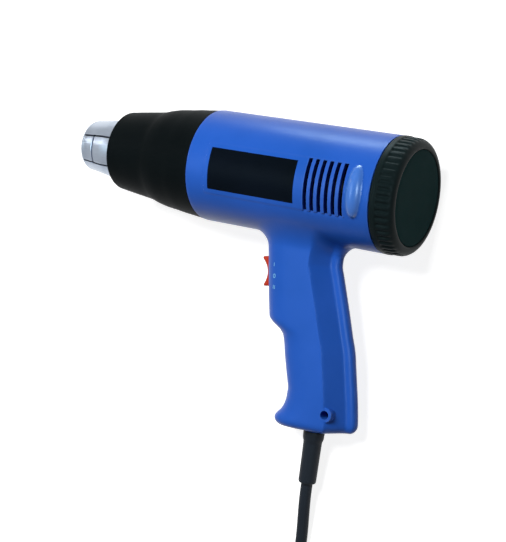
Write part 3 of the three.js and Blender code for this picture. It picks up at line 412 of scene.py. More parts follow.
def panel_field(p):
    x, y, z = p[:, 0], p[:, 1], p[:, 2]
    lean = np.abs(np.arctan2(z, np.abs(y)))
    along = np.abs(x - (PANEL_START + PANEL_END) / 2) - (PANEL_END - PANEL_START) / 2
    panel = round_both(along, (lean - PANEL_ANGLE) * BARREL_RADIUS, PANEL_EDGE)
    depth = np.abs(np.hypot(y, z) - BARREL_RADIUS + PANEL_SINK) - PANEL_SINK - PANEL_RISE
    return round_both(panel, depth, PANEL_EDGE)


# Oval bump behind the slots
BUMP_CENTRE, BUMP_SINK, BUMP_ROOT, BUMP_FILLET = 120.0, 3.6, 3, 0.6
BUMP_SIZE = np.array([6.4, 6.6, 15.6])


def bump_field(p):
    q = (p - np.array([BUMP_CENTRE, -BARREL_RADIUS + BUMP_SINK, 0])) / BUMP_SIZE
    reach = np.linalg.norm(q, axis=1)
    growth = np.linalg.norm(q / BUMP_SIZE, axis=1)
    oval = reach * (reach - 1) / np.maximum(growth, 1e-6)
    return np.maximum(oval, BARREL_RADIUS - BUMP_ROOT - np.hypot(p[:, 1], p[:, 2]))


# Slots in both sides
SLOT_FIRST, SLOT_PITCH, SLOT_WIDTH, SLOT_COUNT = 87.7, 4.84, 2.5, 6
SLOT_HALF_HEIGHT, SLOT_FLOOR = BARREL_RADIUS * math.sin(math.radians(25.4)), 24


def slot_field(p):
    x, y, z = p[:, 0], p[:, 1], p[:, 2]
    number = np.clip(np.round((x - SLOT_FIRST) / SLOT_PITCH), 0, SLOT_COUNT - 1)
    across = np.abs(x - SLOT_FIRST - number * SLOT_PITCH) - SLOT_WIDTH / 2
    return np.maximum(np.maximum(across, np.abs(z) - SLOT_HALF_HEIGHT), SLOT_FLOOR - np.abs(y))


# Opening for the switch, in axes along the handle's front face
SWITCH_X, SWITCH_Z, SWITCH_TILT = 53.1, -60.4, math.radians(-9.56)
OPENING_LOW, OPENING_HIGH, OPENING_EDGE = (-5, -7.8, -11.1), (6.8, 7.8, 11.1), 0.8


def switch_axes(p):
    """Points of the tool's axes in the switch's."""
    c, s = math.cos(SWITCH_TILT), math.sin(SWITCH_TILT)
    x, z = p[:, 0] - SWITCH_X, p[:, 2] - SWITCH_Z
    return np.stack([x * c - z * s, p[:, 1], x * s + z * c], -1)


def from_switch(p):
    """Points of the switch's axes in the tool's."""
    p = np.asarray(p, float)
    c, s = math.cos(SWITCH_TILT), math.sin(SWITCH_TILT)
    x, z = p[:, 0], p[:, 2]
    return np.stack([SWITCH_X + x * c + z * s, p[:, 1], SWITCH_Z - x * s + z * c], -1)


# Cord's exit in the foot and the screw's boss in the left flank
EXIT_BOSS_DROP, EXIT_BOSS_ROOT, EXIT_BOSS_RADIUS, EXIT_BOSS_EDGE, EXIT_BOSS_FILLET = 1.3, 5, 8.3, 0.5, 0.6
EXIT_HOLE_DROP, EXIT_HOLE_TOP, EXIT_HOLE_RADIUS = 6, 8, 6.2
SCREW_X, SCREW_Z, SCREW_RECESS, SCREW_BOSS, SCREW_SEAT = 111.9, -139.4, 2.7, 4.7, 6.0
SCREW_BOSS_SINK, SCREW_BOSS_EDGE, SCREW_HOLE, SCREW_HOLE_END, PAST_FLANK = 0.4, 0.4, 1.6, 2, -20


def exit_rod(p, low, high, radius, edge=0.0):
    """A round bar on the cord's line; its ends are heights above the foot."""
    return rod_field(p, 2, (CORD_X, 0), low - HANDLE_REACH, high - HANDLE_REACH, radius, edge)


def screw_rod(p, low, high, radius, edge=0.0):
    return rod_field(p, 1, (SCREW_X, SCREW_Z), low, high, radius, edge)


# Housing halves: the hollow barrel and handle with what stands on them, cut on the middle plane
SHELL_WALL, BORE_PAST_END, JOIN_FILLET, HALF_GAP = 2.5, 5, 9.0, 0.12
GRID_PAST_ENDS, GRID_PAST_SPLIT = 1.6, 0.9
GRID_LEFT, GRID_RIGHT, GRID_BOTTOM, GRID_TOP = -39.5, 38.5, -158.2, 38.2


def housing_holes(p, left):
    holes = [slot_field(p), box_field(switch_axes(p), OPENING_LOW, OPENING_HIGH, OPENING_EDGE),
             exit_rod(p, -EXIT_HOLE_DROP, EXIT_HOLE_TOP, EXIT_HOLE_RADIUS)]
    if left:
        holes.append(screw_rod(p, PAST_FLANK, -SCREW_SEAT, SCREW_RECESS))
        holes.append(screw_rod(p, PAST_FLANK, SCREW_HOLE_END, SCREW_HOLE))
    return holes


def housing_field(side):
    """The field of one half: side is -1 for the left half and 1 for the right."""
    left = side < 0

    def field(p):
        body = round_union(barrel_field(p), handle_field(p), JOIN_FILLET)
        bore_radius = BARREL_RADIUS - SHELL_WALL
        bore = rod_field(p, 0, (0, 0), -BORE_PAST_END, BARREL_LENGTH + BORE_PAST_END, bore_radius)
        cavity = np.minimum(body + SHELL_WALL, bore)
        if left:
            body = round_union(body, panel_field(p), PANEL_FILLET)
            body = round_union(body, bump_field(p), BUMP_FILLET)
        exit_boss = exit_rod(p, -EXIT_BOSS_DROP, EXIT_BOSS_ROOT, EXIT_BOSS_RADIUS, EXIT_BOSS_EDGE)
        shell = np.maximum(round_union(body, exit_boss, EXIT_BOSS_FILLET), -cavity)
        if left:
            boss_end = -HANDLE_HALF_WIDTH + SCREW_BOSS_SINK
            shell = np.minimum(shell, screw_rod(p, boss_end, 0, SCREW_BOSS, SCREW_BOSS_EDGE))
        for hole in housing_holes(p, left):
            shell = np.maximum(shell, -hole)
        return np.maximum(shell, HALF_GAP - side * p[:, 1])
    return field


def add_housing(name, node, side, step, *materials):
    """One half of the housing, on a grid that meets every slot alike."""
    slot_corner = SLOT_FIRST + step / 2
    start = slot_corner - step * math.ceil((slot_corner + GRID_PAST_ENDS) / step)
    low = [start, GRID_LEFT if side < 0 else -GRID_PAST_SPLIT, GRID_BOTTOM]
    high = [BARREL_LENGTH + GRID_PAST_ENDS, GRID_PAST_SPLIT if side < 0 else GRID_RIGHT, GRID_TOP]
    shape = contour(housing_field(side), low, high, step)
    return add_piece(name, node, "housing_plastic", shape, *materials)


# Material helpers
def new_material(name):
    material = bpy.data.materials.new(name)
    material.use_nodes = True
    tree = material.node_tree
    return material, tree, tree.nodes["Principled BSDF"]


def node_of(tree, kind, **values):
    """A new node; each value goes to the input or the setting of its name."""
    made = tree.nodes.new(kind)
    for key, value in values.items():
        if key in made.inputs:
            made.inputs[key].default_value = value
        else:
            setattr(made, key, value)
    return made


def noise(tree, scale, detail, rough=0.55, stretch=(1, 1, 1)):
    """Noise in the object's own space; the scale is in waves a metre."""
    coordinates = node_of(tree, "ShaderNodeTexCoord")
    mapping = node_of(tree, "ShaderNodeMapping")
    mapping.inputs["Scale"].default_value = stretch
    texture = node_of(tree, "ShaderNodeTexNoise", Scale=scale, Detail=detail, Roughness=rough)
    tree.links.new(coordinates.outputs["Object"], mapping.inputs["Vector"])
    tree.links.new(mapping.outputs["Vector"], texture.inputs["Vector"])
    return texture.outputs["Fac"]


def ramp(tree, value, stops):
    """A change from one colour to another between two values."""
    made = node_of(tree, "ShaderNodeValToRGB")
    for element, (place, colour) in zip(made.color_ramp.elements, stops):
        element.position = place
        element.color = (*colour, 1)
    tree.links.new(value, made.inputs["Fac"])
    return made.outputs["Color"]


def span(tree, value, low, high):
    """A value between 0 and 1 spread from low to high."""
    made = node_of(tree, "ShaderNodeMapRange")
    made.inputs["To Min"].default_value = low
    made.inputs["To Max"].default_value = high
    tree.links.new(value, made.inputs["Value"])
    return made.outputs["Result"]


def bump(tree, height, strength, distance):
    made = node_of(tree, "ShaderNodeBump", Strength=strength, Distance=distance)
    tree.links.new(height, made.inputs["Height"])
    return made.outputs["Normal"]


def plastic(name, dark, light, rough, grain, depth, wear=0.0, specular=0.5):
    """Moulded plastic: faint clouding of the colour, uneven gloss and a fine spark-eroded grain."""
    material, tree, shader = new_material(name)
    colour = ramp(tree, noise(tree, scale=22, detail=4), [(0.3, dark), (0.7, light)])
    if wear > 0:
        edge = node_of(tree, "ShaderNodeNewGeometry").outputs["Pointiness"]
        worn = ramp(tree, edge, [(0.52, (0, 0, 0)), (0.6, (wear, wear, wear))])
        mixed = node_of(tree, "ShaderNodeMix", data_type="RGBA", blend_type="ADD")
        mixed.inputs["Factor"].default_value = 1.0
        tree.links.new(colour, mixed.inputs["A"])
        tree.links.new(worn, mixed.inputs["B"])
        colour = mixed.outputs["Result"]
    tree.links.new(colour, shader.inputs["Base Color"])
    gloss = span(tree, noise(tree, scale=60, detail=3), low=rough - 0.05, high=rough + 0.06)
    tree.links.new(gloss, shader.inputs["Roughness"])
    fine = noise(tree, scale=grain, detail=2, rough=0.6)
    tree.links.new(bump(tree, fine, strength=0.35, distance=depth), shader.inputs["Normal"])
    shader.inputs["Specular IOR Level"].default_value = specular
    return material


def metal(name, dark, light, rough, stretch, scale=900):
    """Drawn or turned metal with fine lines along one way and a slight clouding."""
    material, tree, shader = new_material(name)
    lines = noise(tree, scale=scale, detail=3, rough=0.6, stretch=stretch)
    colour = ramp(tree, noise(tree, scale=40, detail=4), [(0.25, dark), (0.75, light)])
    tree.links.new(colour, shader.inputs["Base Color"])
    shader.inputs["Metallic"].default_value = 1.0
    tree.links.new(span(tree, lines, low=rough - 0.08, high=rough + 0.1), shader.inputs["Roughness"])
    tree.links.new(bump(tree, lines, strength=0.3, distance=0.00002), shader.inputs["Normal"])
    return material


# Plastics: darker and lighter colour, roughness, grain in waves a metre, depth of the grain in metres
# Metals: darker and lighter colour, roughness, how the lines are drawn out along x, y and z
BLUE = plastic("blue_plastic", (0.011, 0.080, 0.40), (0.016, 0.093, 0.46), 0.34, 2600, 0.00005,
               wear=0.02, specular=0.14)
# A lighter blue for the top of the bump is painted light; its lower roughness and higher specular give it a
# glossier finish
BUMP_GLOSS_PAINTED_LIGHT = plastic("bump_gloss_painted_light", (0.025, 0.13, 0.48), (0.034, 0.15, 0.54), 0.27, 2600, 0.00001,
                     specular=0.55)
BLACK = plastic("black_plastic", (0.0016, 0.003, 0.0035), (0.003, 0.0048, 0.0054), 0.5, 2200, 0.00008,
                wear=0.004, specular=0.02)
CAP_BLACK = plastic("cap_plastic", (0.0022, 0.006, 0.0068), (0.0044, 0.010, 0.0106), 0.45, 1800, 0.00006,
                    specular=0.06)
DISC = plastic("disc_plastic", (0.0012, 0.022, 0.023), (0.0025, 0.029, 0.030), 0.5, 1500, 0.00005,
               specular=0.01)
LABEL = plastic("label_film", (0.0012, 0.0028, 0.005), (0.0022, 0.0045, 0.009), 0.35, 900, 0.00001,
                specular=0.02)
STEEL = metal("nozzle_steel", (0.29, 0.34, 0.42), (0.44, 0.49, 0.57), 0.3, (0.06, 1, 1))
# Darker steel for the floor of the pressed ring: painted shade in the groove
RING_PAINTED_SHADE = metal("ring_painted_shade_steel", (0.07, 0.09, 0.14), (0.11, 0.13, 0.20), 0.4, (1, 1, 1))
# Near-black steel: painted shade on the slit floors, the motor can and the handle's screw
PAINTED_SHADE_STEEL = metal("painted_shade_steel", (0.015, 0.017, 0.022), (0.035, 0.036, 0.045), 0.5, (1, 1, 1))
ZINC = metal("zinc", (0.30, 0.31, 0.32), (0.42, 0.43, 0.44), 0.35, (1, 1, 1), scale=1500)
ROTOR_STEEL = metal("motor_steel", (0.42, 0.43, 0.45), (0.55, 0.56, 0.58), 0.32, (1, 0.1, 0.1))
BRASS = metal("brass", (0.5, 0.34, 0.10), (0.66, 0.47, 0.17), 0.3, (1, 1, 1), scale=1200)
COPPER = metal("copper", (0.5, 0.24, 0.12), (0.66, 0.34, 0.19), 0.34, (0.1, 1, 1), scale=1500)
HOT_WIRE = metal("heater_wire", (0.24, 0.20, 0.18), (0.42, 0.38, 0.35), 0.5, (1, 1, 1), scale=1500)
MICA = plastic("mica_sheet", (0.42, 0.36, 0.26), (0.66, 0.58, 0.45), 0.55, 700, 0.0001)
RESIN = plastic("moulding_resin", (0.48, 0.44, 0.34), (0.62, 0.58, 0.47), 0.45, 1500, 0.00005)
FERRITE = plastic("ferrite", (0.03, 0.03, 0.033), (0.06, 0.06, 0.064), 0.7, 1200, 0.0001)
BOARD = plastic("circuit_board", (0.02, 0.12, 0.05), (0.03, 0.16, 0.07), 0.4, 800, 0.00003)
RED = plastic("rocker_plastic", (0.36, 0.026, 0.010), (0.44, 0.040, 0.014), 0.3, 1400, 0.00002,
              specular=0.08)
WIRE_RED = plastic("wire_insulation", (0.26, 0.03, 0.02), (0.34, 0.045, 0.03), 0.4, 1400, 0.00003)
RUBBER = plastic("cord_rubber", (0.006, 0.0095, 0.015), (0.010, 0.014, 0.021), 0.5, 1600, 0.00006,
                 specular=0.15)
PLUG_RUBBER = plastic("plug_rubber", (0.006, 0.008, 0.011), (0.010, 0.012, 0.016), 0.55, 1200, 0.0001,
                      specular=0.15)
MARKS = plastic("mark_paint", (0.12, 0.38, 0.62), (0.18, 0.46, 0.70), 0.4, 900, 0.00002)
PIN = metal("nickel", (0.55, 0.54, 0.52), (0.70, 0.69, 0.66), 0.22, (1, 1, 1), scale=1200)

# Supply cord, before the rest
CORD_RADIUS, SURFACE_GAP = 3.75, 0.1
REST = CORD_RADIUS + SURFACE_GAP
COIL_BELOW_EXIT, COIL_RADIUS, COIL_PITCH, LAYER_RISE = 126.0, 53.2, 8.3, 8.0
LAYER_TURNS, CLIMB_TURNS, COIL_STEPS = 2.875, 0.5, 24
RELIEF_END, EXIT_PAST_RELIEF, GAP = 189.0, 1, 0.3
PLUG_HALF_THICKNESS = 13.0


def coil_points(centre):
    """A flat layer that winds inwards, a short climb, and a second layer that winds out again."""
    inner = COIL_RADIUS - COIL_PITCH * LAYER_TURNS
    turns = 2 * LAYER_TURNS + CLIMB_TURNS
    steps = round(turns * COIL_STEPS)
    points = []
    for i in range(steps + 1):
        turn = turns * i / steps
        climb = min(max(turn - LAYER_TURNS, 0), CLIMB_TURNS)
        share = climb / CLIMB_TURNS
        rise = LAYER_RISE * share * share * (3 - 2 * share)
        radius = COIL_RADIUS - COIL_PITCH * turn
        if climb > 0:
            radius = inner - COIL_PITCH * climb * (1 - share)
        if climb == CLIMB_TURNS:
            radius = inner + COIL_PITCH * (turn - LAYER_TURNS - CLIMB_TURNS)
        angle = -2 * math.pi * turn
        x, y = centre[0] + radius * math.cos(angle), centre[1] + radius * math.sin(angle)
        points.append((x, y, REST + rise))
    return points


def cord_route():
    """Points along the whole free cord, in millimetres of the frame's axes."""
    exit_point = to_row((CORD_X, 0, -RELIEF_END - EXIT_PAST_RELIEF - GAP)) / MM
    along = np.array(row_direction((0, 0, -1)))
    x, y, z = exit_point
    centre = np.array([x - COIL_RADIUS, y - COIL_BELOW_EXIT])
    points = [exit_point, exit_point + along * 8, (x + 0.3, y - 18, z - 2.9), (x + 0.8, y - 30, z - 5.4),
              (x + 1, y - 42, REST + 0.6), (x + 0.9, y - 55, REST), (x + 0.5, y - 75, REST),
              (x + 0.1, y - 100, REST), (x, centre[1] + 2 * CORD_RADIUS, REST)]
    points = [np.asarray(p, float) for p in points + coil_points(centre)]
    away = points[-1] - points[-2]
    away /= np.linalg.norm(away)
    end = points[-1] + away * 2 * CORD_RADIUS
    points.append(end)
    side = np.cross(away, (0, 0, 1))
    plug_z = PLUG_HALF_THICKNESS + SURFACE_GAP
    # distance on from the coil's end, distance aside, height
    tail = [(8, 0, end[2] - 0.1), (20, 0.5, end[2] - 2.2), (32, 2, REST + 2.4), (42, 4.5, REST),
            (52, 8.5, REST + 1.7), (62, 14, REST + 5.6), (70, 19.5, plug_z - 0.6), (76, 24, plug_z)]
    for on, aside, height in tail:
        p = end + away * on + side * aside
        points.append(np.array([p[0], p[1], height]))
    return np.array(points)


def add_cord():
    route = cord_route()
    data = bpy.data.curves.new("supply_cord", "CURVE")
    data.dimensions = "3D"
    data.bevel_depth = CORD_RADIUS * MM
    data.bevel_resolution = 8
    data.use_fill_caps = True
    data.resolution_u = 6
    spline = data.splines.new("NURBS")
    spline.points.add(len(route) - 1)
    for point, place in zip(spline.points, route * MM):
        point.co = (*place, 1)
    spline.use_endpoint_u = True
    spline.order_u = 4
    thing = new_object("supply_cord", data)
    thing.data.materials.append(RUBBER)
    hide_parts("cord_lead", "cord_coil", "cord_tail")
    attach(thing, "tool")
    return thing


supply_cord = add_cord()

# Housing: both halves, and on the bump a glossier skin whose lighter blue is painted light
STEP = SLOT_PITCH / 4
SKIN_RISE = 0.35
left_housing = add_housing("left_housing", "left_shell", -1, STEP, BLUE, BUMP_GLOSS_PAINTED_LIGHT)
# Faces on top of the bump take the lighter blue: painted light, with a glossier finish
for polygon in left_housing.data.polygons:
    x, y, z = from_row(polygon.center)
    near_bump = abs(x - BUMP_CENTRE) < BUMP_SIZE[0] and abs(z) < BUMP_SIZE[2]
    if near_bump and math.hypot(y, z) > BARREL_RADIUS + SKIN_RISE:
        polygon.material_index = 1
add_housing("right_housing", "right_shell", 1, STEP, BLUE)

# Front sleeve, with a grooved spigot that holds it in the housing
SLEEVE = [
    (-0.3, 35.9), (-9, 35.0), (-16, 34.4), (-22, 33.6), (-29, 32.9), (-32, 32.5), (-35, 31.9), (-38, 31.2),
    (-41, 30.25), (-44, 29.65), (-50, 28.9), (-57, 28.1), (-64, 27.25), (-70.8, 26.35)]
SLEEVE_LENGTH, SLEEVE_LIP, SLEEVE_BORE, SLEEVE_SIDES = 72.0, 1.2, 20.0, 144
SPIGOT_END, SPIGOT_OUTER, SPIGOT_INNER = 9.0, 33.45, 29.35
GROOVE_START, GROOVE_END, GROOVE_FLOOR = 3.7, 6.7, 31.95
QUARTER_STEPS = 8


def quarter_turns():
    """The angles along a quarter of a round edge, after its start."""
    return [k * math.pi / (2 * QUARTER_STEPS) for k in range(1, QUARTER_STEPS + 1)]


def front_sleeve_shape():
    x, r = eased(SLEEVE, step=0.9, ease=0.7)
    outer = list(zip(x, r))[::-1]
    outer[0] = (-0.55, outer[0][1])
    lip = r[0] - SLEEVE_LIP
    for turn in quarter_turns():
        outer.append((SLEEVE_LIP * (1 - math.sin(turn)) - SLEEVE_LENGTH, lip + SLEEVE_LIP * math.cos(turn)))
    mouth = [(0, lip - 1.5), (0, SLEEVE_BORE + 0.5), (0.15, SLEEVE_BORE + 0.15), (0.5, SLEEVE_BORE),
             (2.8, SLEEVE_BORE), (2.8, 24)]
    inner = [(depth - SLEEVE_LENGTH, radius) for depth, radius in mouth]
    inner += [(-44, 27.2), (-31, 30.2), (-3, SPIGOT_INNER)]
    spigot = [(SPIGOT_END, SPIGOT_INNER), (SPIGOT_END, SPIGOT_OUTER), (GROOVE_END, SPIGOT_OUTER),
              (GROOVE_END, GROOVE_FLOOR), (GROOVE_START, GROOVE_FLOOR),
              (GROOVE_START, SPIGOT_OUTER), (-GAP, SPIGOT_OUTER), (-GAP, 35.6)]
    return lathe(outer + inner + spigot, SLEEVE_SIDES)


add_piece("front_sleeve_cover", "front_sleeve", "black_plastic", front_sleeve_shape(), BLACK)

# Rear cap, with a spigot like the sleeve's, and the disc set into it
CAP_START = BARREL_LENGTH + GAP
REAR_FACE = CAP_START + 14.6
CAP_EDGE, CAP_EDGE_DROP, CAP_RIM = 5.5, 5.0, 1.3
CAP_COLLAR, CAP_COLLAR_RADIUS, CAP_SIDE_RADIUS = 3.8, 36.35, 35.9
CAP_BORE, CAP_SPIGOT_INNER = 32.4, 29.4
CAP_FLOOR, CAP_FLOOR_THICKNESS = 2.8, 1.6
CAP_RIBS, CAP_RIB_DEPTH, CAP_RIB_POINTS, CAP_RIB_LEAST = 51, 0.85, 12, 33.8
RIB_WAVE_START, RIB_WAVE_SPAN = 0.35, 0.5
RIB_PAST_COLLAR, RIB_FADE_IN, RIB_BEFORE_FACE, RIB_FADE_OUT = 0.2, 0.9, 1.8, 2.2
DISC_RADIUS = CAP_RADIUS - CAP_EDGE - CAP_RIM
DISC_SINK, DISC_THICKNESS, DISC_SIDES = 0.5, 2, 96
AXIS_RADIUS = 0.02


def ribbed(x, radius, angle):
    """Fine lengthwise grooves in the cap's side that run out before its collar and its edge."""
    first, last = CAP_START + CAP_COLLAR + RIB_PAST_COLLAR, REAR_FACE - RIB_BEFORE_FACE
    wave = 0.5 - 0.5 * np.cos(angle * CAP_RIBS)
    groove = np.clip((wave - RIB_WAVE_START) / RIB_WAVE_SPAN, 0, 1)
    fade = np.clip((x - first) / RIB_FADE_IN, 0, 1) * np.clip((last - x) / RIB_FADE_OUT, 0, 1)
    return x, radius - CAP_RIB_DEPTH * groove * fade * (radius > CAP_RIB_LEAST)


def rear_cap_shape():
    collar_end = CAP_START + CAP_COLLAR
    edge_start, edge_radius = REAR_FACE - CAP_EDGE, CAP_SIDE_RADIUS - CAP_EDGE_DROP
    outer = [(CAP_START, 35.7), (CAP_START + 0.35, 36.2), (CAP_START + 0.8, CAP_COLLAR_RADIUS)]
    outer += [(x, CAP_COLLAR_RADIUS) for x in np.linspace(CAP_START + 1.4, collar_end - 0.4, 4)]
    outer += [(collar_end, 36.2), (collar_end + 0.5, 35.95)]
    outer += [(x, CAP_SIDE_RADIUS) for x in np.linspace(collar_end + 0.8, edge_start, 6)]
    for turn in quarter_turns():
        outer.append((edge_start + CAP_EDGE * math.sin(turn), edge_radius + CAP_EDGE_DROP * math.cos(turn)))
    outer += [(REAR_FACE, 30.3), (REAR_FACE - 0.15, 29.9), (REAR_FACE - DISC_SINK, DISC_RADIUS + 0.05)]
    floor, back = REAR_FACE - CAP_FLOOR, BARREL_LENGTH - SPIGOT_END
    under = floor - CAP_FLOOR_THICKNESS
    inner = [(floor, DISC_RADIUS), (floor, AXIS_RADIUS), (under, AXIS_RADIUS), (under, CAP_BORE),
             (CAP_START, CAP_BORE)]
    groove_start, groove_end = BARREL_LENGTH - GROOVE_END, BARREL_LENGTH - GROOVE_START
    spigot = [(CAP_START, CAP_SPIGOT_INNER), (back, CAP_SPIGOT_INNER), (back, SPIGOT_OUTER),
              (groove_start, SPIGOT_OUTER), (groove_start, GROOVE_FLOOR), (groove_end, GROOVE_FLOOR),
              (groove_end, SPIGOT_OUTER), (CAP_START, SPIGOT_OUTER)]
    return lathe(outer + inner + spigot, CAP_RIBS * CAP_RIB_POINTS, ribbed)


def rear_disc_shape():
    face, rim = REAR_FACE - DISC_SINK, DISC_RADIUS - GAP
    back = face - DISC_THICKNESS
    profile = [(back, AXIS_RADIUS), (back, rim), (face, rim), (face, 24), (face, 10), (face, AXIS_RADIUS)]
    return lathe(rounded(profile, [0, 0.2, 0.35, 0, 0, 0]), DISC_SIDES)


add_piece("rear_cap_cover", "rear_cap", "black_plastic", rear_cap_shape(), CAP_BLACK, smooth_angle=38)
add_piece("rear_disc_cover", "rear_disc", "disc_plastic", rear_disc_shape(), DISC)

# Nozzle
TUBE_RADIUS, TUBE_WALL, TAPER_START = 19.4, 1.2, -84.0
TIP_RADIUS, TIP_REACH, TIP_ROLL = 17.2, 101.5, 3.0
FLANGE_X, FLANGE_RADIUS, FLANGE_THICKNESS = 10.0, 26.2, 1.5
RING_X, RING_HALF_WIDTH, RING_DEPTH = -91.0, 0.95, 0.6
DARTS, DART_ANGLE, DART_WIDTH, DART_START, DART_END = 6, math.radians(156.5), 1.3, -99.6, -68.0
DART_DEPTH, DART_FLOOR_SHARE, PAINTED_SHADE_DEPTH = 0.95, 0.8, 0.75
FIELD_POINTS = 22


def tube_radius(x):
    return float(np.interp(x, [TIP_ROLL - TIP_REACH, TAPER_START], [TIP_RADIUS, TUBE_RADIUS]))


def nozzle_shape():
    """The steel tube with its rolled end, slits sunk along it, and a ring pressed into every other field."""
    tip = [(-TIP_REACH, 15.3), (-TIP_REACH, 16.1), (0.15 - TIP_REACH, 16.5), (0.5 - TIP_REACH, 16.8),
           (1.1 - TIP_REACH, 17.0), (DART_START - 0.2, tube_radius(DART_START - 0.2))]
    slit = [DART_START, *np.arange(-99, -92.4, 0.7), *np.arange(-92.2, -89.7, 0.2),
            *np.arange(-89.2, TAPER_START, 0.8), TAPER_START, -80, -74, DART_END]
    outer = tip + [(x, tube_radius(x)) for x in slit + [DART_END + 0.2, -60, -45, -30, 0]]
    flange_end = FLANGE_X + FLANGE_THICKNESS
    flange = [(FLANGE_X, TUBE_RADIUS), (FLANGE_X, FLANGE_RADIUS), (flange_end, FLANGE_RADIUS),
              (flange_end, TUBE_RADIUS - TUBE_WALL)]
    inner = [(x, tube_radius(x) - TUBE_WALL) for x in (0, -45, TAPER_START, DART_START)]
    profile = outer + flange + inner
    half, pitch = DART_WIDTH / 2 / TUBE_RADIUS, 2 * math.pi / DARTS
    floor = DART_FLOOR_SHARE * half
    turns = [*np.linspace(half, pitch - half, FIELD_POINTS), pitch - floor, pitch + floor]
    points = []
    for i, (x, radius) in enumerate(profile):
        sunk = RING_DEPTH * max(0, 1 - ((x - RING_X) / RING_HALF_WIDTH) ** 2) if i < len(outer) else 0
        in_slit = len(tip) <= i < len(tip) + len(slit)
        for dart in range(DARTS):
            for column, turn in enumerate(turns):
                r = radius - (0 if dart % 2 else sunk)
                if in_slit and column >= FIELD_POINTS:
                    r = radius - DART_DEPTH
                angle = DART_ANGLE + 2 * math.pi * dart / DARTS + turn
                points.append((x, r * math.cos(angle), r * math.sin(angle)))
    return points, closed_grid(len(profile), DARTS * len(turns))


nozzle = add_piece("nozzle_tube", "nozzle", "nozzle_steel", nozzle_shape(), STEEL, PAINTED_SHADE_STEEL, RING_PAINTED_SHADE,
                   smooth_angle=40)
outward(nozzle)
# Faces sunk deep in the slits take near-black steel: painted shade where the slits look dark
for polygon in nozzle.data.polygons:
    x, y, z = from_row(polygon.center)
    sunk = tube_radius(x) - math.hypot(y, z)
    if 0.6 - TIP_REACH < x < FLANGE_X - 1 and sunk > PAINTED_SHADE_DEPTH:
        polygon.material_index = 1
    # The pressed ring's floor takes darker steel: painted shade
    elif abs(x - RING_X) < RING_HALF_WIDTH and sunk > 0.5 * RING_DEPTH:
        polygon.material_index = 2

# Label
LABEL_START, LABEL_LENGTH, LABEL_ANGLE = 17.2, 62.3, math.radians(20.8)
LABEL_SINK, LABEL_RISE = 0.25, 0.1
LABEL_ALONG, LABEL_AROUND = 48, 32


def label_shape():
    """A thin film bent around the barrel: two layers of points with a rim between them."""
    low, high = BARREL_RADIUS + PANEL_RISE - LABEL_SINK, BARREL_RADIUS + PANEL_RISE + LABEL_RISE
    points = []
    for radius in (low, high):
        for i in range(LABEL_ALONG + 1):
            for j in range(LABEL_AROUND + 1):
                x = LABEL_START + LABEL_LENGTH * (i / LABEL_ALONG)
                angle = LABEL_ANGLE * (-1 + 2 * j / LABEL_AROUND)
                points.append((x, -radius * math.cos(angle), radius * math.sin(angle)))
    columns = LABEL_AROUND + 1
    layer = (LABEL_ALONG + 1) * columns
    faces = []
    for i in range(LABEL_ALONG):
        for j in range(LABEL_AROUND):
            a, b = i * columns + j, i * columns + j + 1
            c, d = b + columns, a + columns
            faces += [(a, b, c, d), (a + layer, d + layer, c + layer, b + layer)]
    rim = [i * columns for i in range(LABEL_ALONG + 1)]
    rim += [LABEL_ALONG * columns + j for j in range(1, columns)]
    rim += [i * columns + LABEL_AROUND for i in range(LABEL_ALONG - 1, -1, -1)]
    rim += list(range(LABEL_AROUND - 1, 0, -1))
    for a, b in zip(rim, rim[1:] + rim[:1]):
        faces.append((b, b + layer, a + layer, a))
    return points, faces


add_piece("label_film", "label_plate", "label_film", label_shape(), LABEL, smooth_angle=30)

# Strain relief
RELIEF_RADIUS, RELIEF_FLARE, RELIEF_FLARE_LENGTH, RELIEF_STEP = 5.65, 0.25, 25, 1.2
RELIEF_NECK, RELIEF_COLLAR, RELIEF_COLLAR_TOP, RELIEF_SIDES = 5.9, 8.6, 5.8, 48


def relief_shape():
    """A sleeve for the cord with a collar inside the foot, drawn along x and then turned downwards."""
    bottom = HANDLE_REACH + EXIT_BOSS_DROP
    collar_top, collar_end = HANDLE_REACH - RELIEF_COLLAR_TOP, HANDLE_REACH - SHELL_WALL - 1
    bore = CORD_RADIUS + GAP
    profile = [(collar_top, bore), (RELIEF_END, bore), (RELIEF_END, 4.9), (RELIEF_END - 0.3, 5.35),
               (RELIEF_END - 1, RELIEF_RADIUS)]
    for x in np.arange(RELIEF_END - 2, bottom + 8, -RELIEF_STEP):
        profile.append((x, RELIEF_RADIUS + RELIEF_FLARE * (RELIEF_END - x) / RELIEF_FLARE_LENGTH))
    profile += [(bottom + 7.2, 6.05), (bottom + 6.2, 6.45), (bottom + 5, 6.7), (bottom + 3, 6.78),
                (bottom + 1.2, 6.8), (bottom + 0.6, 6.6), (bottom + 0.5, RELIEF_NECK),
                (collar_end, RELIEF_NECK), (collar_end, RELIEF_COLLAR), (collar_top, RELIEF_COLLAR)]
    points, faces = lathe(profile, RELIEF_SIDES)
    return np.stack([points[:, 2] + CORD_X, points[:, 1], -points[:, 0]], -1), faces


add_piece("strain_relief_sleeve", "strain_relief", "cord_rubber", relief_shape(), RUBBER, smooth_angle=36)

# Rocker of the switch
ROCKER_HALF_WIDTH, ROCKER_HALF_HEIGHT, ROCKER_RISE, ROCKER_DISH, ROCKER_DEPTH = 7.3, 9.5, 3.6, 3.2, 5.0
ROCKER_EDGE, FACE_EDGE, DISH_INSET, DISH_STEEPNESS = 0.7, 0.5, 1.2, 1.1
HEEL_X, HEEL_RADIUS, HEEL_INSET = 7.5, 3.6, 0.8


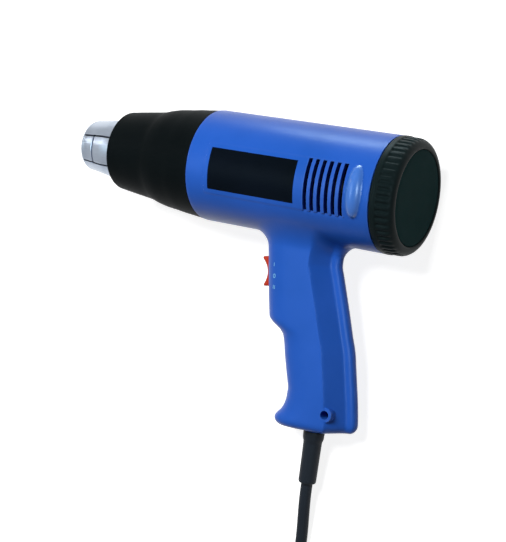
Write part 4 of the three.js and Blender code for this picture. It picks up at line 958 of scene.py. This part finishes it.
def rocker_field(p):
    """The rocker in the switch's axes: a block with a dished front, and a round heel."""
    share = np.clip(p[:, 2] / (ROCKER_HALF_HEIGHT - DISH_INSET), -1, 1)
    face = -ROCKER_RISE + ROCKER_DISH * (1 - share * share)
    block = box_field(p, (-ROCKER_RISE - 0.2, -ROCKER_HALF_WIDTH, -ROCKER_HALF_HEIGHT),
                      (ROCKER_DEPTH, ROCKER_HALF_WIDTH, ROCKER_HALF_HEIGHT), ROCKER_EDGE)
    block = round_both(block, (face - p[:, 0]) / DISH_STEEPNESS, FACE_EDGE)
    heel = np.hypot(p[:, 0] - HEEL_X, p[:, 2]) - HEEL_RADIUS
    heel = np.maximum(heel, np.abs(p[:, 1]) - ROCKER_HALF_WIDTH + HEEL_INSET)
    return np.minimum(block, heel)


def add_rocker():
    points, faces = contour(rocker_field, low=(-5, -8.6, -10.7), high=(12, 8.6, 10.7), step=0.5)
    rocker = make_mesh("rocker_button", from_switch(points), faces, smooth_angle=40)
    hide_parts("switch_rocker")
    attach(rocker, "rocker")
    paint(rocker, RED)


add_rocker()

# Marks beside the rocker: a stroke, an oval and two strokes
MARK_STROKE, MARK_HEIGHT, MARK_RAISE, MARK_SINK = 0.55, 2.3, 0.12, 0.4
MARK_PLACES = [(61.4, -54.3), (62.5, -61.4), (63.2, -68.4)]
BAR_OFFSET, BAR_STEPS = 0.6, 6
OVAL_HALF_WIDTH, OVAL_STEPS = 0.85, 24
FLANK_INSIDE, FLANK_SEARCHES = -2.0, 30


def flank_at(x, z):
    """Where a line along y meets the left flank of the handle."""
    low, high = np.full(len(x), -HANDLE_HALF_WIDTH - 1), np.full(len(x), FLANK_INSIDE)
    for _ in range(FLANK_SEARCHES):
        middle = (low + high) / 2
        inside = handle_field(np.stack([x, middle, z], -1)) < 0
        low, high = np.where(inside, low, middle), np.where(inside, middle, high)
    return high


def stroke_edges(points, closed):
    """The left and right edges of a flat stroke along a line."""
    points = np.asarray(points, float)
    ahead = np.roll(points, -1, 0) - np.roll(points, 1, 0)
    if not closed:
        ahead[0], ahead[-1] = points[1] - points[0], points[-1] - points[-2]
    ahead /= np.linalg.norm(ahead, axis=1, keepdims=True)
    side = np.stack([-ahead[:, 1], ahead[:, 0]], 1) * MARK_STROKE / 2
    return points + side, points - side


def mark_shape(place, lines):
    """Strokes a little proud of the flank: each is a closed strip with a top, sides and a sunk back."""
    points, faces = [], []
    for line, closed in lines:
        left, right = stroke_edges(line, closed)
        count, base = len(left), len(points)
        for edge in (left, right):
            x, z = place[0] + edge[:, 0], place[1] + edge[:, 1]
            y = flank_at(x, z)
            points += [(a, b - MARK_RAISE, c) for a, b, c in zip(x, y, z)]
            points += [(a, b + MARK_SINK, c) for a, b, c in zip(x, y, z)]
        rows = [base + k * count for k in (0, 2, 3, 1)]
        for i in range(count if closed else count - 1):
            j = (i + 1) % count
            for a, b in zip(rows, rows[1:] + rows[:1]):
                faces.append((a + i, b + i, b + j, a + j))
        if not closed:
            for i in (0, count - 1):
                faces.append(tuple(row + i for row in rows))
    return points, faces


def bar(offset):
    """An open line up and down, beside the mark's middle."""
    return [(offset, -MARK_HEIGHT / 2 + MARK_HEIGHT * k / BAR_STEPS) for k in range(BAR_STEPS + 1)], False


def oval():
    """A closed line around the mark's middle."""
    turns = [2 * math.pi * k / OVAL_STEPS for k in range(OVAL_STEPS)]
    return [(OVAL_HALF_WIDTH * math.cos(turn), MARK_HEIGHT / 2 * math.sin(turn)) for turn in turns], True


def add_marks():
    drawings = [bar(0)], [oval()], [bar(-BAR_OFFSET), bar(BAR_OFFSET)]
    for number, (place, lines) in enumerate(zip(MARK_PLACES, drawings), 1):
        mark = outward(make_mesh(f"switch_mark_{number}", *mark_shape(place, lines), smooth_angle=40))
        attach(mark, "tool")
        paint(mark, MARKS)


add_marks()

# Nodes that keep the shape they have in the frame
# Near-black steel on the motor can and the handle's screw is painted shade, dark through the slots and in
# the screw's recess
LOOKS = [
    (MICA, "mica_tube heater_core"), (HOT_WIRE, "heater_coil"), (RESIN, "thermal_cutout air_guide"),
    (ZINC, "nozzle_screw_1 nozzle_screw_2 nozzle_screw_3 clamp_screw_1 clamp_screw_2"),
    (BLACK, "fan_impeller motor_end_cap diode_1 diode_2 diode_3 diode_4 switch_body cord_clamp"),
    (FERRITE, "motor_mount magnet_left magnet_right"), (PAINTED_SHADE_STEEL, "motor_can handle_screw"),
    (ROTOR_STEEL, "armature motor_shaft"), (COPPER, "commutator"), (BOARD, "rectifier_board"),
    (BRASS, "brush_left brush_right front_bearing rear_bearing"),
    (BRASS, "switch_terminal_1 switch_terminal_2 switch_terminal_3"),
    (RUBBER, "cord_inner"), (WIRE_RED, "wire_live wire_neutral"), (PLUG_RUBBER, "plug_body"),
    (PIN, "plug_pin_1 plug_pin_2")]
for material, names in LOOKS:
    for name in names.split():
        paint(bpy.data.objects[name], material)

# Cord's first point, in metres
cord_start = cord_route()[0] * MM

# Floor, world and lights, in metres
FLOOR_HALF_SIZE, FLOOR_GREY, FLOOR_ROUGHNESS, FLOOR_SPECULAR, FLOOR_GLOW = 6.0, 0.45, 0.8, 0.2, 0.87
WORLD_LIGHT = 0.02
LAMP_AIM = (0, 0.02, 0.03)
COOL = (0.7, 0.94, 1.0)


def seen_rays(tree):
    """1 for rays from the camera and for those that mirror or pass on what it sees."""
    path = node_of(tree, "ShaderNodeLightPath")
    value = path.outputs["Is Camera Ray"]
    for kind in ("Is Glossy Ray", "Is Transmission Ray"):
        both = node_of(tree, "ShaderNodeMath", operation="MAXIMUM")
        tree.links.new(value, both.inputs[0])
        tree.links.new(path.outputs[kind], both.inputs[1])
        value = both.outputs[0]
    return value


def add_floor():
    """A grey floor that takes the tool's shadow and glows near to white where it is seen."""
    size = FLOOR_HALF_SIZE
    corners = [(-size, -size, 0), (size, -size, 0), (size, size, 0), (-size, size, 0)]
    mesh = bpy.data.meshes.new("floor")
    mesh.from_pydata(corners, [], [(0, 1, 2, 3)])
    floor = new_object("floor", mesh)
    material, tree, shader = new_material("floor")
    shader.inputs["Base Color"].default_value = (FLOOR_GREY, FLOOR_GREY, FLOOR_GREY, 1)
    shader.inputs["Roughness"].default_value = FLOOR_ROUGHNESS
    shader.inputs["Specular IOR Level"].default_value = FLOOR_SPECULAR
    scaled = node_of(tree, "ShaderNodeMath", operation="MULTIPLY")
    scaled.inputs[1].default_value = FLOOR_GLOW
    tree.links.new(seen_rays(tree), scaled.inputs[0])
    glow = node_of(tree, "ShaderNodeEmission")
    tree.links.new(scaled.outputs[0], glow.inputs["Strength"])
    add = node_of(tree, "ShaderNodeAddShader")
    tree.links.new(shader.outputs[0], add.inputs[0])
    tree.links.new(glow.outputs[0], add.inputs[1])
    tree.links.new(add.outputs[0], tree.nodes["Material Output"].inputs["Surface"])
    mesh.materials.append(material)


def add_world():
    """White where it is seen, and a faint even light on everything."""
    world = bpy.data.worlds.new("studio")
    world.use_nodes = True
    bpy.context.scene.world = world
    tree = world.node_tree
    back = tree.nodes["Background"]
    back.inputs["Color"].default_value = (1, 1, 1, 1)
    back.inputs["Strength"].default_value = WORLD_LIGHT
    white = node_of(tree, "ShaderNodeBackground", Strength=1.0)
    mix = node_of(tree, "ShaderNodeMixShader")
    tree.links.new(seen_rays(tree), mix.inputs["Fac"])
    tree.links.new(back.outputs[0], mix.inputs[1])
    tree.links.new(white.outputs[0], mix.inputs[2])
    tree.links.new(mix.outputs[0], tree.nodes["World Output"].inputs["Surface"])


def add_softbox(name, place, size, power, colour=(1, 1, 1), diffuse=True, glossy=True):
    """A soft lamp turned to the tool, that may light matt surfaces alone or highlights alone."""
    data = bpy.data.lights.new(name, "AREA")
    data.shape = "RECTANGLE"
    data.size, data.size_y = size
    data.energy = power
    data.color = colour
    light = new_object(name, data)
    light.location = place
    light.rotation_euler = (Vector(LAMP_AIM) - Vector(place)).to_track_quat("-Z", "Y").to_euler()
    light.visible_diffuse, light.visible_glossy = diffuse, glossy


add_floor()
add_world()
add_softbox("key", (-0.08, 0.46, 1.24), (0.5, 0.5), 21.5, glossy=False)
add_softbox("fill", (-0.30, -0.70, 0.95), (0.5, 0.5), 0.6, glossy=False)
add_softbox("sheen", (0.0, 0.38, 0.036), (0.24, 0.07), 0.9, COOL, diffuse=False)
add_softbox("front", (-0.38, -0.06, 0.87), (0.35, 0.35), 2.0, COOL, diffuse=False)
add_softbox("edge", (0.58, 0.0, 0.77), (0.25, 0.25), 3.0, COOL, diffuse=False)
add_softbox("glint", (-0.73, 0.21, 0.61), (0.06, 0.06), 0.6, diffuse=False)
bpy.context.scene.view_settings.view_transform = "Standard"
